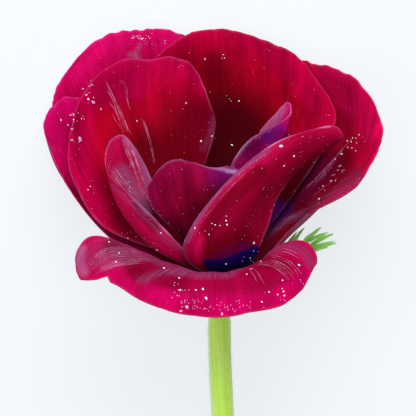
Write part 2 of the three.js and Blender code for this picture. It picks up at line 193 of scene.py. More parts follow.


# Petal tissue: silky, finely veined and thin enough for light to glow through. Its colour also carries
# painted shade, painted light and painted sheen.
def petalMaterial(name, shape):
    look = petalLook
    width, length = shape["size"]
    material = newMaterial(name)
    tree = material.node_tree
    place = addNode(tree, "ShaderNodeUVMap", uv_map="petalMap")
    painted, grain, marks = {}, {}, {}
    for key in maskNames:
        painted[key] = addNode(tree, "ShaderNodeAttribute", attribute_name=key).outputs["Fac"]
    for key, (across, along, detail) in look["grain"].items():
        scale = (width / across, length / along, 1.0)
        stretched = addNode(tree, "ShaderNodeMapping", {"Vector": place, "Scale": scale})
        inputs = {"Vector": stretched, "Scale": 1.0, "Detail": detail}
        grain[key] = addNode(tree, "ShaderNodeTexNoise", inputs)
    grain["navy"] = addNode(tree, "ShaderNodeMath", {
        0: grain["veins"], 1: look["navyRagged"], 2: painted["navy"],
    }, operation="MULTIPLY_ADD")
    for key, ends in look["marks"].items():
        marks[key] = addNode(tree, "ShaderNodeMapRange", {
            "Value": grain[key], **dict(zip(rangeInputs, ends)),
        }, interpolation_type="SMOOTHSTEP")
    # the painted sheen of lilac and mauve, and the back's veil, break up into streaks along the veins
    for key in ("lilac", "mauve", "veil"):
        inputs = {0: painted[key], 1: marks["streaks"]}
        painted[key] = addNode(tree, "ShaderNodeMath", inputs, operation="MULTIPLY")

    # Painted shade and painted light first, then random mottle, shade painted in pleats, the veins and cells,
    # then violet, lilac and mauve, partly painted sheen, the back's veil, the painted highlight of the rim,
    # and last the navy claw.
    layers = [
        (painted["dusk"], shape["deep"]), (painted["glow"], shape["bright"]),
        (marks["mottle"], shape["deep"]), (marks["pleatShade"], shape["deep"]),
        (marks["veins"], look["vein"]), (marks["cells"], look["vein"]),
        *((painted[key], look[key]) for key in ("violet", "lilac", "mauve", "veil", "rim")),
        (marks["navy"], look["navy"]),
    ]
    ridges = addNode(tree, "ShaderNodeMath", {0: grain["veins"], 1: grain["streaks"]}, operation="ADD")
    return makeSkin(material, look, shape["middle"], layers, ridges, {
        "Sheen Weight": look["sheen"], "Sheen Roughness": look["sheenRoughness"],
        "Sheen Tint": linear(look["lilac"]),
    })


# Petals, as the frame has them: five veins from one side to the other, with points listed
# from the claw to the margin, in millimetres from the flower's centre (right, up, forward).
# "strokes" are colours laid on: mask, strength, half width and softness in pixels of
# the picture, and the stroke's path there; a last pair limits how far across the petal (-1 to
# 1) it reaches, where two walls of one petal show over each other. "at" and "spread" place the
# claw in degrees round the axis, "turn" is the way that the veins follow each other round, and
# "ring" is its ring of claws. "corner", "waves" and "clefts" shape the margin, and "ruffle"
# ripples it. "lip" is a mauve band along a side: which side, how wide in millimetres, how
# strong. "navyReach" is how far the dark of the claw goes up, as a share of the length, and
# "size" is the petal's width and length laid flat, for the scale of its grain.
petalGrid = {"rows": 120, "columns": 120, "clawRadius": 4.9, "clawLowest": -2.6, "clawStep": 1.1}
petalThickness = {"base": 0.55, "blade": 0.36, "margin": 0.22, "bladeFrom": 0.3, "marginWidth": 3.0}
petalDefaults = {"lip": (1, 1, 0), "navyReach": 0.16}  # where a petal doesn't say otherwise
# Of the strokes, those of the darker base are painted shade and those of glow painted light; rim, lilac and
# mauve are painted sheen, violet partly so, and the lip's mauve band is painted sheen on a rolled edge. Each
# petal's deep is the colour of its darker base and painted shade, its bright that of its painted light.
petals = {
    "petal_left": {
        "at": 192, "spread": 34, "turn": 1, "ring": 1, "corner": 0.35, "slot": "petal_magenta",
        "waves": (0.012, 7, 0.4), "clefts": [(0.5, 0.02, 0.1)], "ruffle": (0.4, 8, 1),
        "rim": 0.12, "size": (40, 62), "deep": "#a00040", "middle": "#e00066", "bright": "#f00c7c",
        "strokes": [
            ("mauve", 0.65, 1.5, 3, [(49, 148), (52, 150)]),
        ],
        "veins": [
            [(-14, 1.5, 0), (-26.5, 8.5, -3), (-36.5, 19.5, -5.5), (-43, 31, -7.5)],
            [(-13, 4, -5), (-28, 13, -8.5), (-40, 25, -11), (-45, 37, -11)],
            [(-12, 5, -10), (-27, 17, -14), (-38, 31, -15), (-43, 43, -14)],
            [(-10, 7, -13), (-24, 20, -19), (-34, 35, -20), (-38, 48, -17)],
            [(-9, 8, -14), (-20, 23, -22), (-28, 38, -23), (-32, 49, -20)],
        ],
    },
    "petal_back_left": {
        "at": 250, "spread": 32, "turn": 1, "ring": 0, "corner": 0.12, "slot": "petal_magenta",
        "waves": (0.014, 8, 1.2), "clefts": [(0.25, 0.012, 0.1)], "ruffle": (0.5, 9, 0.3),
        "rim": 0.08, "size": (50, 74), "deep": "#b80040", "middle": "#ee0062", "bright": "#fc107e",
        "strokes": [
            ("lilac", 0.8, 1, 3, [(131, 54), (138, 57)]),
            ("lilac", 0.5, 0.5, 3, [(139, 45), (137, 52)]),
            ("glow", 0.8, 6, 16, [(78, 72), (108, 50), (150, 42), (185, 36)]),
            ("dusk", 0.25, 2, 6, [(75, 105), (85, 80), (112, 54)]),
        ],
        "veins": [
            [(-12, 5, -13), (-28, 17, -20), (-39, 31, -20), (-44, 44, -17)],
            [(-10, 7, -17), (-23, 23, -26), (-36, 38.5, -26), (-42.6, 47.9, -20)],
            [(-7, 8, -19), (-16, 26, -29), (-24, 45, -30), (-28, 63, -24)],
            [(-3, 8, -19), (-8, 27, -31), (-12, 47, -32), (-14, 63, -26)],
            [(2, 8, -18), (3, 26, -30), (2, 47, -31), (-1, 66, -27)],
        ],
    },
    "petal_right": {
        "at": -22, "spread": 34, "turn": 1, "ring": 0, "corner": 0.2, "slot": "petal_crimson",
        "waves": (0.01, 6, 2.0), "clefts": [(0.3, 0.01, 0.1)], "ruffle": (0.4, 8, 0.5),
        "rim": 0.1, "size": (50, 62), "deep": "#70001a", "middle": "#cc0034", "bright": "#fc0860",
        "strokes": [
            ("mauve", 0.78, 1.5, 5, [(303, 214), (285, 222), (262, 238)]),
            ("dusk", 1.0, 12, 32, [(290, 205), (300, 180), (318, 165)]),
            ("dusk", 0.5, 3, 14, [(340, 118), (343, 140)]),
            ("dusk", 0.9, 5, 14, [(342, 158), (318, 182), (294, 202)]),
            ("glow", 1.0, 9, 18, [(325, 76), (350, 90), (366, 105), (376, 125)]),
            ("dusk", 0.6, 8, 12, [(354, 180), (340, 190), (320, 206)]),
            ("mauve", 0.39, 2, 10, [(360, 176), (340, 194), (316, 208)]),
            ("violet", 0.8, 4, 9, [(272, 222), (284, 208)]),
            ("violet", 0.12, 3, 12, [(330, 166), (300, 195)]),
        ],
        "veins": [
            [(6, 8, -17), (14, 26, -29), (17, 44, -32), (16, 62, -27)],
            [(10, 7, -14), (22, 24, -23), (26, 42, -25), (24, 55, -20)],
            [(12, 6, -8), (27, 20, -13), (35, 36, -14), (35, 49.5, -11)],
            [(12.5, 5, -1), (23.5, 17, -3), (35, 28.5, -3), (40.5, 38.5, -2)],
            [(10.5, 4, 4), (20, 14, 6), (31.5, 20.5, 7), (40, 27.5, 7)],
        ],
    },
    "petal_front": {
        "at": 98, "spread": 38, "turn": -1, "ring": 0, "corner": 0.15, "slot": "petal_magenta",
        "waves": (0.01, 9, 0.0), "clefts": [(-0.42, 0.065, 0.12), (-0.5, 0.045, 0.028)],
        "ruffle": (0.4, 7, 1.5),
        "rim": 0.12, "size": (60, 36), "deep": "#800024", "middle": "#ae003e", "bright": "#dc0062",
        "strokes": [
            ("mauve", 0.5, 4, 16, [(130, 250), (96, 258)]),
            ("lilac", 0.6, 1, 7, [(82, 250), (80, 262), (84, 272)]),
            ("mauve", 0.39, 2, 12, [(112, 240), (92, 252), (84, 264)]),
            ("mauve", 0.78, 0.8, 6, [
                (108, 234), (128, 248), (150, 258), (172, 268), (205, 275), (228, 275), (252, 260),
                (283, 245)
            ]),
            ("mauve", 0.78, 0.8, 5, [(140, 281), (165, 271), (200, 276)]),
            ("mauve", 0.65, 1, 8, [(270, 250), (290, 246), (304, 252), (311, 264)]),
            ("dusk", 0.9, 4, 9, [(112, 246), (128, 258), (138, 274)]),
            ("dusk", 0.7, 6, 12, [(148, 268), (170, 278), (178, 284)]),
            ("dusk", 0.6, 3, 9, [(262, 264), (285, 266)]),
            ("dusk", 0.35, 6, 12, [(256, 276), (276, 276)]),
            ("dusk", 0.45, 2, 7, [(292, 243), (307, 249), (314, 260), (316, 272)]),
            ("glow", 1.0, 5, 12, [(150, 298), (185, 304), (225, 305), (270, 302), (300, 288)]),
        ],
        "veins": [
            [(-11, 1, 7), (-22.8, 7.6, 10), (-33, 9.8, 12), (-39, -0.6, 15)],
            [(-7, -1, 10), (-15, 4, 14.5), (-24, 3, 20), (-31, -2.8, 22.4)],
            [(-2, -2, 10), (-3, 1, 16), (-4, -3, 22), (-4, -9.5, 24)],
            [(4, -1, 9), (8, 3, 14), (13, 0, 19), (15, -7, 21)],
            [(8, 1, 7), (15, 8, 9), (22, 8, 12), (25.5, -1, 15)],
        ],
    },
    "petal_back": {
        "at": 282, "spread": 34, "turn": 1, "ring": 1, "corner": 0.18, "slot": "petal_crimson",
        "waves": (0.01, 8, 0.9), "clefts": [(0.35, 0.012, 0.12)], "ruffle": (0.4, 7, 2.2),
        "rim": 0.1, "size": (46, 68), "deep": "#50000c", "middle": "#c0001e", "bright": "#e4004c",
        "strokes": [
            ("dusk", 1.0, 22, 56, [(230, 162), (230, 138)]),
            ("dusk", 0.5, 4, 12, [(214, 60), (218, 90)]),
            ("dusk", 1.0, 12, 14, [(322, 150), (304, 170), (285, 200), (270, 222)]),
            ("glow", 1.0, 4, 22, [(240, 34), (268, 46), (296, 70), (318, 100)]),
            ("violet", 0.7, 4, 10, [(278, 210), (268, 226)]),
        ],
        "veins": [
            [(-6, 9, -12), (-15, 25, -20), (-22, 41, -23), (-22, 56, -20)],
            [(-3, 9, -15), (-8, 27, -24), (-12, 45, -26), (-12, 61, -22)],
            [(1, 9, -16), (3, 27, -26), (4, 46, -28), (3, 63, -24)],
            [(5, 9, -14), (12, 25, -23), (17, 42, -25), (18, 58, -21)],
            [(9, 8, -11), (19, 21, -18), (28, 35, -20), (32, 50, -17)],
        ],
    },
    "petal_left_inner": {
        "at": 212, "spread": 34, "turn": 1, "ring": 2, "corner": 0.22, "slot": "petal_crimson",
        "waves": (0.01, 7, 0.2), "clefts": [(0.2, 0.012, 0.12)], "ruffle": (0.3, 7, 0.4),
        "rim": 0.16, "size": (42, 62), "deep": "#60000c", "middle": "#cc0026", "bright": "#dc0058",
        "strokes": [
            ("dusk", 0.85, 16, 46, [(200, 130), (190, 152), (150, 165)]),
            ("dusk", 0.6, 6, 20, [(122, 190), (126, 230)]),
            ("glow", 0.8, 8, 20, [(85, 85), (74, 120), (73, 160), (88, 205)]),
            ("glow", 0.85, 8, 30, [(98, 82), (128, 78)]),
            ("mauve", 0.39, 0, 5, [(214, 118), (210, 134), (203, 150)]),
        ],
        "veins": [
            [(-12, 5, 0), (-29, 12, 0.5), (-36.8, 23.5, -2), (-41, 37, -7)],
            [(-11, 8, -6), (-25, 21, -11), (-34.5, 35, -13), (-35, 47, -12)],
            [(-8, 9, -9), (-17, 25, -15), (-23, 41, -17), (-24, 55, -14)],
            [(-4, 9, -9), (-9, 25, -15), (-11, 41, -16), (-9, 56, -13)],
            [(-1, 9, -8), (-5, 22, -12), (-1.6, 36, -12), (0, 47, -8)],
        ],
    },
    "petal_right_front": {
        "at": 62, "spread": 36, "turn": -1, "ring": 2, "corner": 0.25, "slot": "petal_crimson",
        "waves": (0.008, 7, 1.0), "clefts": [], "ruffle": (0.25, 6, 0.0),
        "rim": 0.15, "lip": (-1, 1.3, 0.75), "navyReach": 0.1, "size": (20, 56),
        "deep": "#780018", "middle": "#98002a", "bright": "#e00856",
        "strokes": [
            ("dusk", 0.7, 10, 22, [(218, 258), (240, 248), (262, 236), (275, 200)]),
            ("dusk", 1.0, 4, 12, [(208, 252), (226, 246), (244, 240)]),
            ("dusk", 0.85, 4, 7, [(260, 172), (240, 190), (226, 202), (212, 220), (205, 238)]),
            ("dusk", 0.5, 3, 9, [(286, 176), (304, 160), (334, 144)]),
            ("dusk", 0.25, 4, 20, [(262, 190), (300, 148), (330, 136)]),
            ("rim", 0.75, 0.6, 1.6, [(268, 147), (280, 140), (298, 132), (315, 127), (329, 126)]),
            ("glow", 0.8, 1.5, 9, [(199, 240), (196, 254), (193, 268)]),
            ("mauve", 1.15, 1.8, 2, [
                (187, 241), (194, 225), (203, 211), (213, 198), (224, 184), (241, 170), (254, 160),
                (268, 151)
            ], (-1.1, 0.2)),
            # this weaker navy stroke is painted shade in the hollow above the claw
            ("navy", 0.42, 2, 10, [(214, 259), (229, 252), (246, 245)], (-0.6, 1.1)),
            ("navy", 1.1, 3, 15, [(206, 270), (225, 268), (240, 262), (254, 256)], (-0.45, 1.1)),
        ],
        "veins": [
            [(-9, 5, 10), (-7, 13, 14), (2, 24, 13), (13, 33, 10), (24, 38, 7)],
            [(-5, 4, 12), (-2, 13, 16), (6, 23, 15), (16, 32, 12), (27, 38, 7)],
            [(0, 4, 12), (4, 13, 15), (10, 22, 14), (19, 31, 11), (30, 36.5, 6)],
            [(4, 4, 11), (7, 12, 13), (12, 21, 12), (21, 29, 8.5), (31, 34.5, 4)],
            [(8, 4, 8), (11.5, 12.5, 10), (14.2, 20, 9), (21, 28, 5), (31, 31.5, 2)],
        ],
    },
    "petal_left_narrow": {
        "at": 168, "spread": 28, "turn": -1, "ring": 3, "corner": 0.3, "slot": "petal_crimson",
        "waves": (0.01, 6, 0.5), "clefts": [(0.3, 0.004, 0.12)], "ruffle": (0.2, 7, 0.0),
        "rim": 0.5, "lip": (1, 0.8, 0.5), "size": (22, 46),
        "deep": "#700018", "middle": "#b00032", "bright": "#cc0c54",
        "strokes": [
            ("mauve", 0.98, 2, 5, [(136, 141), (143, 158), (148, 180), (150, 196)], (-0.5, 1.1)),
            ("mauve", 0.75, 3, 7, [(122, 170), (132, 186), (146, 208)], (-1.1, 0.9)),
            ("glow", 0.7, 3, 8, [(108, 166), (118, 184), (134, 202)], (-1.1, 0.9)),
            ("dusk", 0.8, 3, 8, [(140, 205), (155, 225)]),
            ("mauve", 0.45, 0.5, 4, [(112, 186), (128, 200), (150, 222), (166, 240), (184, 250)]),
            ("glow", 0.2, 5, 8, [(118, 205), (138, 230), (150, 246)]),
            ("lilac", 0.5, 2, 6, [(128, 140), (143, 158), (148, 180), (150, 196)], (-0.3, 1.1)),
            ("lilac", 0.3, 2, 6, [(124, 172), (134, 188), (148, 210)], (-1.1, 0.9)),
        ],
        "veins": [
            [(-9.5, 7, 8), (-16, 14, 9), (-23, 21, 7), (-30, 30, 3)],
            [(-10, 3.5, 7), (-18, 8, 6.5), (-26, 18, 4), (-29.5, 30, 0)],
            [(-10, 5, 3), (-18, 12, 2), (-24, 23, 0), (-27.5, 34.5, -2)],
            [(-9.5, 8, 0.5), (-16, 16, -1), (-22, 26, -3), (-25, 37, -3)],
            [(-8, 8.5, -1), (-14.5, 18, -2), (-19, 28, -3), (-21, 36, -3)],
        ],
    },
    "petal_centre": {
        "at": 100, "spread": 33, "turn": -1, "ring": 4, "corner": 0.15, "slot": "petal_purple",
        "waves": (0.015, 9, 0.7), "clefts": [(0.2, 0.02, 0.15)], "ruffle": (0.2, 9, 0.0),
        "rim": 0.3, "size": (34, 34), "deep": "#440014", "middle": "#90002a", "bright": "#a8084c",
        "strokes": [
            ("violet", 0.45, 0, 20, [(218, 174), (240, 175)]),
            ("rim", 0.5, 0, 3.5, [(213, 167), (226, 170)]),
            ("rim", 0.75, 0.5, 3, [(227, 171), (235, 172)]),
            ("dusk", 0.85, 8, 26, [(187, 248), (195, 225), (222, 200)]),
            ("dusk", 0.5, 2, 7, [(187, 170), (190, 195)]),
        ],
        "veins": [
            [(-8.5, 8.5, 4.5), (-17, 17, 3), (-19, 24, 1)],
            [(-6, 7, 9), (-11, 19, 8), (-14, 29, 5)],
            [(-2, 7, 10.5), (-3, 19, 11), (-5, 28, 7)],
            [(3, 7, 9.5), (4, 18, 9), (4, 27, 5)],
            [(6, 8, 6), (9, 17, 5), (12, 25, 2)],
        ],
    },
    "petal_right_curled": {
        "at": 330, "spread": 36, "turn": 1, "ring": 4, "corner": 0.2, "slot": "petal_purple",
        "waves": (0.01, 6, 0.0), "clefts": [(0.1, 0.03, 0.2)], "ruffle": (0.2, 6, 1.0),
        "rim": 0.65, "size": (26, 44), "deep": "#500034", "middle": "#740048", "bright": "#f00c78",
        "strokes": [
            ("lilac", 0.7, 6, 8, [(262, 132), (276, 108)], (-1.1, 0.2)),
            ("glow", 0.7, 6, 8, [(262, 132), (276, 108)], (-1.1, 0.2)),
            ("dusk", 0.7, 7, 16, [(226, 170), (250, 154)], (0.2, 1.1)),
            ("dusk", 0.8, 3, 12, [(248, 148), (266, 134)], (0.2, 1.1)),
            ("glow", 1.0, 3, 7, [(286, 108), (285, 126)]),
            ("violet", 0.55, 2, 10, [(279, 128), (268, 137)], (0.2, 1.1)),
        ],
        "veins": [
            [(3, 12, -8), (6, 25, -11), (9.3, 35, -12), (14.2, 43, -10)],
            [(5, 12, -9), (10, 24, -12), (13, 34, -12), (16, 44, -9)],
            [(7, 12, -5), (13, 22, -8), (16, 32, -9), (18, 43, -8)],
            [(7, 12, -3), (10, 22, -4.5), (14, 31, -5), (18, 42, -6)],
            [(5.5, 12, -1.5), (2, 24.5, -3.5), (6, 33, -4), (16, 40, -6)],
        ],
    },
}


# How much each hand-set point counts at each share of the way along a smooth curve.
def curveWeights(share, count):
    place = np.clip(share, 0, 1) * (count - 1)
    first = np.minimum(place.astype(int), count - 2)
    f = place - first
    pull = ((-f + 2 * f**2 - f**3) / 2, (2 - 5 * f**2 + 3 * f**3) / 2,
            (f + 4 * f**2 - 3 * f**3) / 2, (-f**2 + f**3) / 2)
    hot = np.eye(count + 2)
    weights = sum(hot[first + step] * pull[step][..., None] for step in range(4))
    weights[..., 1] += 2 * weights[..., 0]
    weights[..., 2] -= weights[..., 0]
    weights[..., count] += 2 * weights[..., count + 1]
    weights[..., count - 1] -= weights[..., count + 1]
    return weights[..., 1:count + 1]


def roundAxis(degrees, radius, height):
    angle = math.radians(degrees)
    return right * radius * math.cos(angle) + front * radius * math.sin(angle) + axis * height


# Soft seeded noise from a few crossed waves, about -1 to 1.
def softNoise(x, y, wavelength, seed, waves=7, spread=(0.7, 1.5)):
    draw = random.Random(seed)
    total = 0
    for _ in range(waves):
        angle = draw.uniform(0, math.pi)
        length = wavelength * draw.uniform(*spread)
        along = x * math.cos(angle) + y * math.sin(angle)
        total = total + np.sin(2 * math.pi / length * along + draw.uniform(0, wholeTurn))
    return total / math.sqrt(waves / 2) / 2


def smoothStep(value, low, high):
    share = np.clip((value - low) / (high - low), 0, 1)
    return share * share * (3 - 2 * share)


# From a least value at share 0 up to 1 at share 1.
def atLeast(least, share):
    return least + (1 - least) * share


def surfaceNormals(points):
    along = np.gradient(points, axis=0)
    sideways = np.gradient(points, axis=1)
    normals = np.cross(sideways, along)
    return normals / (np.linalg.norm(normals, axis=-1, keepdims=True) + 1e-12)


# Ripples and fine folds along the veins: how deep, how wide and how long each is. Then the
# uneven margin: how deep and how long its waves are, on a petal of full width. Ruffles start
# at a share of the petal's length.
relief = {
    "folds": ((0.18, 9.0, 40.0), (0.045, 1.6, 26.0)),
    "margin": ((0.3, 9.0), (0.07, 3.5)),
    "marginSpan": 0.8, "fullWidth": 50, "ruffleFrom": 0.4,
}
seedSteps = {"margin": 7, "folds": 50, "paint": 3}  # so that no two noises of a petal are alike


def toScene(points):
    return (np.asarray(points, float) + flower["centre"]) * mm


# The middle face of a petal as a grid of points, with how far each is across and along.
def petalSurface(shape):
    veins = []
    height = petalGrid["clawLowest"] + shape["ring"] * petalGrid["clawStep"]
    for index, vein in enumerate(shape["veins"]):
        side = 2 * index / (len(shape["veins"]) - 1) - 1
        degrees = shape["at"] + shape["turn"] * shape["spread"] * side
        veins.append([roundAxis(degrees, petalGrid["clawRadius"], height), *vein])
    veins = np.array(veins)
    width, length = shape["size"]
    rows = np.linspace(0, 1, petalGrid["rows"] + 1)
    angles = np.linspace(-math.pi / 2, math.pi / 2, petalGrid["columns"] + 1)
    row, angle = np.meshgrid(rows, angles, indexing="ij")
    side = np.sin(angle)
    waveDepth, waveCount, waveStart = shape["waves"]
    reach = 1 - shape["corner"] * (1 - np.cos(angle)) - waveDepth * np.sin(waveCount * side + waveStart)
    for cleftSide, cleftDepth, cleftWidth in shape["clefts"]:
        reach = reach - cleftDepth * np.exp(-(((side - cleftSide) / cleftWidth) ** 2))
    marginPlace = angle * length * relief["marginSpan"]
    for depth, wavelength in relief["margin"]:
        depth = depth * min(1, width / relief["fullWidth"])
        seed = shape["seed"] + seedSteps["margin"]
        reach = reach - depth / length * softNoise(marginPlace, 0, wavelength, seed, waves=5)
    up = np.clip(row * reach, 0, 1)
    points = np.einsum(
        "abv,abp,vpk->abk",
        curveWeights((side + 1) / 2, veins.shape[0]), curveWeights(up, veins.shape[1]), veins,
    )
    ruffleDepth, ruffleCount, ruffleStart = shape["ruffle"]
    nearMargin = np.clip((up - relief["ruffleFrom"]) / (1 - relief["ruffleFrom"]), 0, 1) ** 2
    ruffle = ruffleDepth * nearMargin * np.sin(ruffleCount * side + ruffleStart)
    points = points + surfaceNormals(points) * ruffle[..., None]
    return points, side, row


# How far pixels of the picture are from a stroke's path.
def strokeDistance(x, y, path):
    nearest = np.full(x.shape, np.inf)
    for (startX, startY), (endX, endY) in zip(path, path[1:]):
        alongX, alongY = endX - startX, endY - startY
        share = ((x - startX) * alongX + (y - startY) * alongY) / (alongX**2 + alongY**2)
        share = np.clip(share, 0, 1)
        nearest = np.minimum(nearest, np.hypot(x - startX - share * alongX, y - startY - share * alongY))
    return nearest


# The two faces of a petal, its middle face, and what else its paint needs: how far each
# point is across and along, and from the margin in millimetres.
def petalBody(shape):
    points, side, row = petalSurface(shape)
    width, length = shape["size"]
    x, y = side * width / 2, row * length
    free = np.clip(2 * row, 0, 1)  # the claw stays plain
    lift = 0
    for number, (depth, wide, long) in enumerate(relief["folds"]):
        seed = shape["seed"] + seedSteps["folds"] * number
        lift = lift + depth * softNoise(x, y * wide / long, wide, seed) * free
    points = points + surfaceNormals(points) * lift[..., None]
    marginDistance = np.minimum((1 - row) * length, (1 - np.abs(side)) * width / 2)
    base, blade, margin = (petalThickness[key] for key in ("base", "blade", "margin"))
    thick = np.interp(row, (0, petalThickness["bladeFrom"], 1), (base, blade, blade))
    thick = np.interp(marginDistance, (0, petalThickness["marginWidth"]), (0, 1)) * (thick - margin) + margin
    floor = -flower["centre"][2]
    points[..., 2] = np.maximum(points[..., 2], floor + thick / 2)
    normals = surfaceNormals(points)
    faces = [points + way * normals * thick[..., None] / 2 for way in (1, -1)]
    for face in faces:
        face[..., 2] = np.maximum(face[..., 2], floor)
    return faces, points, side, row, marginDistance


# How far each colour of a petal reaches, as shares of its length or in millimetres. The glow is painted light
# along the margin, the darker base is partly painted shade, and rim and lip are painted sheen.
paint = {
    "glowWidth": 6, "shadeAndDarkBaseFades": (0.1, 0.75), "uneven": 8.0, "leastUneven": 0.6, "rimWidth": 0.4,
    "lipFades": (0.4, 1.2), "veil": 0.7, "veilFades": (0.5, 1.0), "veilRings": 2, "navy": 1.1,
    "strongest": 1.5,
}


def petalMasks(shape, points, side, row, marginDistance):
    width, length = shape["size"]
    masks = {maskName: np.zeros_like(side) for maskName in maskNames}
    # Painted light: brighter towards the margin, partly the margin's own lighter tint, partly light glowing
    # through the thin edge.
    masks["glow"] = np.exp(-marginDistance / paint["glowWidth"])
    # Darker towards the claw: partly the petal's own dark base, partly painted shade deep in the cup.
    masks["dusk"] = 1 - smoothStep(row, *paint["shadeAndDarkBaseFades"])
    seed = shape["seed"] + seedSteps["paint"]
    uneven = softNoise(side * width / 2, row * length, paint["uneven"], seed)
    uneven = atLeast(paint["leastUneven"], uneven)
    # Painted highlight: a pale lilac line along the margin, uneven.
    masks["rim"] = shape["rim"] * uneven * np.exp(-((marginDistance / paint["rimWidth"]) ** 2))
    # Mauve along one side: painted sheen on the rolled lip, over its mauve tint.
    lipSide, lipWidth, lipStrength = shape["lip"]
    lipPlace = (1 - lipSide * side) * width / 2 / (lipWidth * uneven)
    masks["mauve"] = lipStrength * (1 - smoothStep(lipPlace, *paint["lipFades"]))
    outer = shape["ring"] < paint["veilRings"]
    masks["veil"] = paint["veil"] * (1 - smoothStep(row, *paint["veilFades"])) * outer
    masks["glow"] = masks["glow"] * (1 - masks["mauve"])
    masks["navy"] = paint["navy"] * np.exp(-((row / shape["navyReach"]) ** 2))
    pixelX, pixelY = pixelsOf(points)
    # The strokes lay on painted shade in hollows and shaded walls, painted light on lit parts, painted sheen
    # in lilac, mauve, rim and violet, and the navy of the claws.
    for maskName, strength, half, soft, path, *limits in shape["strokes"]:
        stroke = strength * (1 - smoothStep(strokeDistance(pixelX, pixelY, path), half, half + soft))
        if limits:
            stroke = stroke * (side > limits[0][0]) * (side < limits[0][1])
        masks[maskName] = np.maximum(masks[maskName], stroke)
        if maskName == "dusk":  # what is in the shade doesn't glow
            masks["glow"] = masks["glow"] * (1 - stroke)
    return masks


# Closes the two faces to one sheet with an edge all round.
def closedSheet(name, turn, faces, masks, side, row):
    rows, columns = side.shape
    index = np.arange(rows * columns).reshape(rows, columns)
    back = rows * columns
    a, b, c, d = index[:-1, :-1], index[:-1, 1:], index[1:, 1:], index[1:, :-1]
    top = np.stack([a, b, c, d], -1).reshape(-1, 4)
    under = np.stack([a, d, c, b], -1).reshape(-1, 4) + back
    rim = np.concatenate([index[0, :-1], index[:-1, -1], index[-1, :0:-1], index[:0:-1, 0]])
    after = np.roll(rim, -1)
    edge = np.stack([rim, rim + back, after + back, after], -1)
    places = toScene(np.concatenate([face.reshape(-1, 3) for face in faces]))
    values = {}
    for maskName, mask in masks.items():
        values[maskName] = np.clip(np.concatenate([mask.ravel(), mask.ravel()]), 0, paint["strongest"])
    values["veil"][:back] *= turn < 0  # on the back only
    values["veil"][back:] *= turn > 0
    mesh = newMesh(name, places, np.concatenate([top, under, edge]).tolist(), values)
    mapPlaces = np.stack([(side + 1) / 2, row], -1).reshape(-1, 2)
    layOut(mesh, "petalMap", np.concatenate([mapPlaces, mapPlaces]))
    return mesh


def addPiece(name, mesh, material, slot, *nodes):
    piece = bpy.data.objects.new(name, mesh)
    mesh.materials.append(material)
    scene.collection.objects.link(piece)
    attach(piece, "root")
    if nodes:
        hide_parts(*nodes)
    return piece


petalPieces = {}
for seed, (node, shape) in enumerate(petals.items(), 1):
    shape = {**petalDefaults, "seed": seed, **shape}
    faces, points, side, row, marginDistance = petalBody(shape)
    masks = petalMasks(shape, points, side, row, marginDistance)
    mesh = closedSheet(node + "_fine", shape["turn"], faces, masks, side, row)
    material = petalMaterial("silkyTissue_" + node, shape)
    petalPieces[node] = addPiece(node + "_fine", mesh, material, shape["slot"], node)
print("petals made:", sum(len(piece.data.polygons) for piece in petalPieces.values()), "faces")


# Points along a smooth curve, and its direction at each.
def curvePoints(points, count):
    points = np.array(points, float)
    share = np.linspace(0, 1, count)
    placed = curveWeights(share, len(points)) @ points
    direction = np.gradient(placed, axis=0)
    return placed, direction / np.linalg.norm(direction, axis=1, keepdims=True)


# Quads between rings of the same number of points, with a flat end at each end.
def ringFaces(rings, sides, first=0):
    faces = []
    for ring in range(rings - 1):
        for side in range(sides):
            a, b = first + ring * sides + side, first + ring * sides + (side + 1) % sides
            faces.append((a, b, b + sides, a + sides))
    last = first + (rings - 1) * sides
    faces.append(tuple(range(first + sides - 1, first - 1, -1)))
    faces.append(tuple(range(last, last + sides)))
    return faces


stemShape = {
    "radius": 2.8, "endRadius": 3.1, "sides": 44, "rings": 170, "length": 125,
    "line": [
        (-0.4, -10, -2.5), (-0.3, -20, -5), (0.4, -35, -9), (2, -60, -15.5),
        (3.5, -84, -21.5), (4, -105, -26.3), (4, -125, -28.2),
    ],
    # height on the bloom's axis and radius, over the receptacle, round the petals' feet and
    # down its neck; the first of them are dark
    "top": [
        (3.2, 3.7), (2.9, 4.7), (2.2, 4.95), (1.2, 4.95), (-2.9, 4.85), (-3.6, 4.5), (-4.8, 3.9),
        (-6.2, 3.2), (-8.2, 2.9),
    ],
    "darkRings": 4,
    # ribs round the stem, and slow swellings along it: depth, how often, and where they start;
    # both come in over an eighth of its length
    "ribs": 9, "ribDepth": 0.06, "swellings": ((0.05, 9, 0), (0.04, 23, 1)), "comeIn": 8,
    # rings of the cut end: how far in, as a share of the radius, and how far sunk
    "cutRings": ((0.93, 0.0), (0.8, 0.5), (0.45, 1.0), (0.12, 0.8)), "cutDepth": 0.35,
}
stemLook = {
    # the pale sides are painted light along both edges of the stem, where its downy edges catch the light
    "skin": "#c4ee50", "pale": "#e6ffa4", "dark": "#acdc40", "paintedEdgeLight": "#f4ffe0", "cut": "#fbfff0",
    "topDark": "#140a2c",
    # across and along each stripe in millimetres; cloudy patches round and along, by number
    "stripe": (0.7, 30.0), "clouds": (6.0, 40.0, 1.0),
    # where each mark starts and is full, and how strong it is there
    "marks": {
        "stripes": (0.4, 0.65, 0.0, 0.35), "patches": (0.5, 0.75, 0.0, 0.5), "paintedEdgeLights": (0.75, 1.0, 0.0, 0.5),
    },
    "roughness": 0.5, "gloss": 0.25, "bump": 0.3, "bumpDepth": 0.1,
    "fleshDepth": 0.15, "fleshRadius": (0.6, 0.9, 0.3),
}
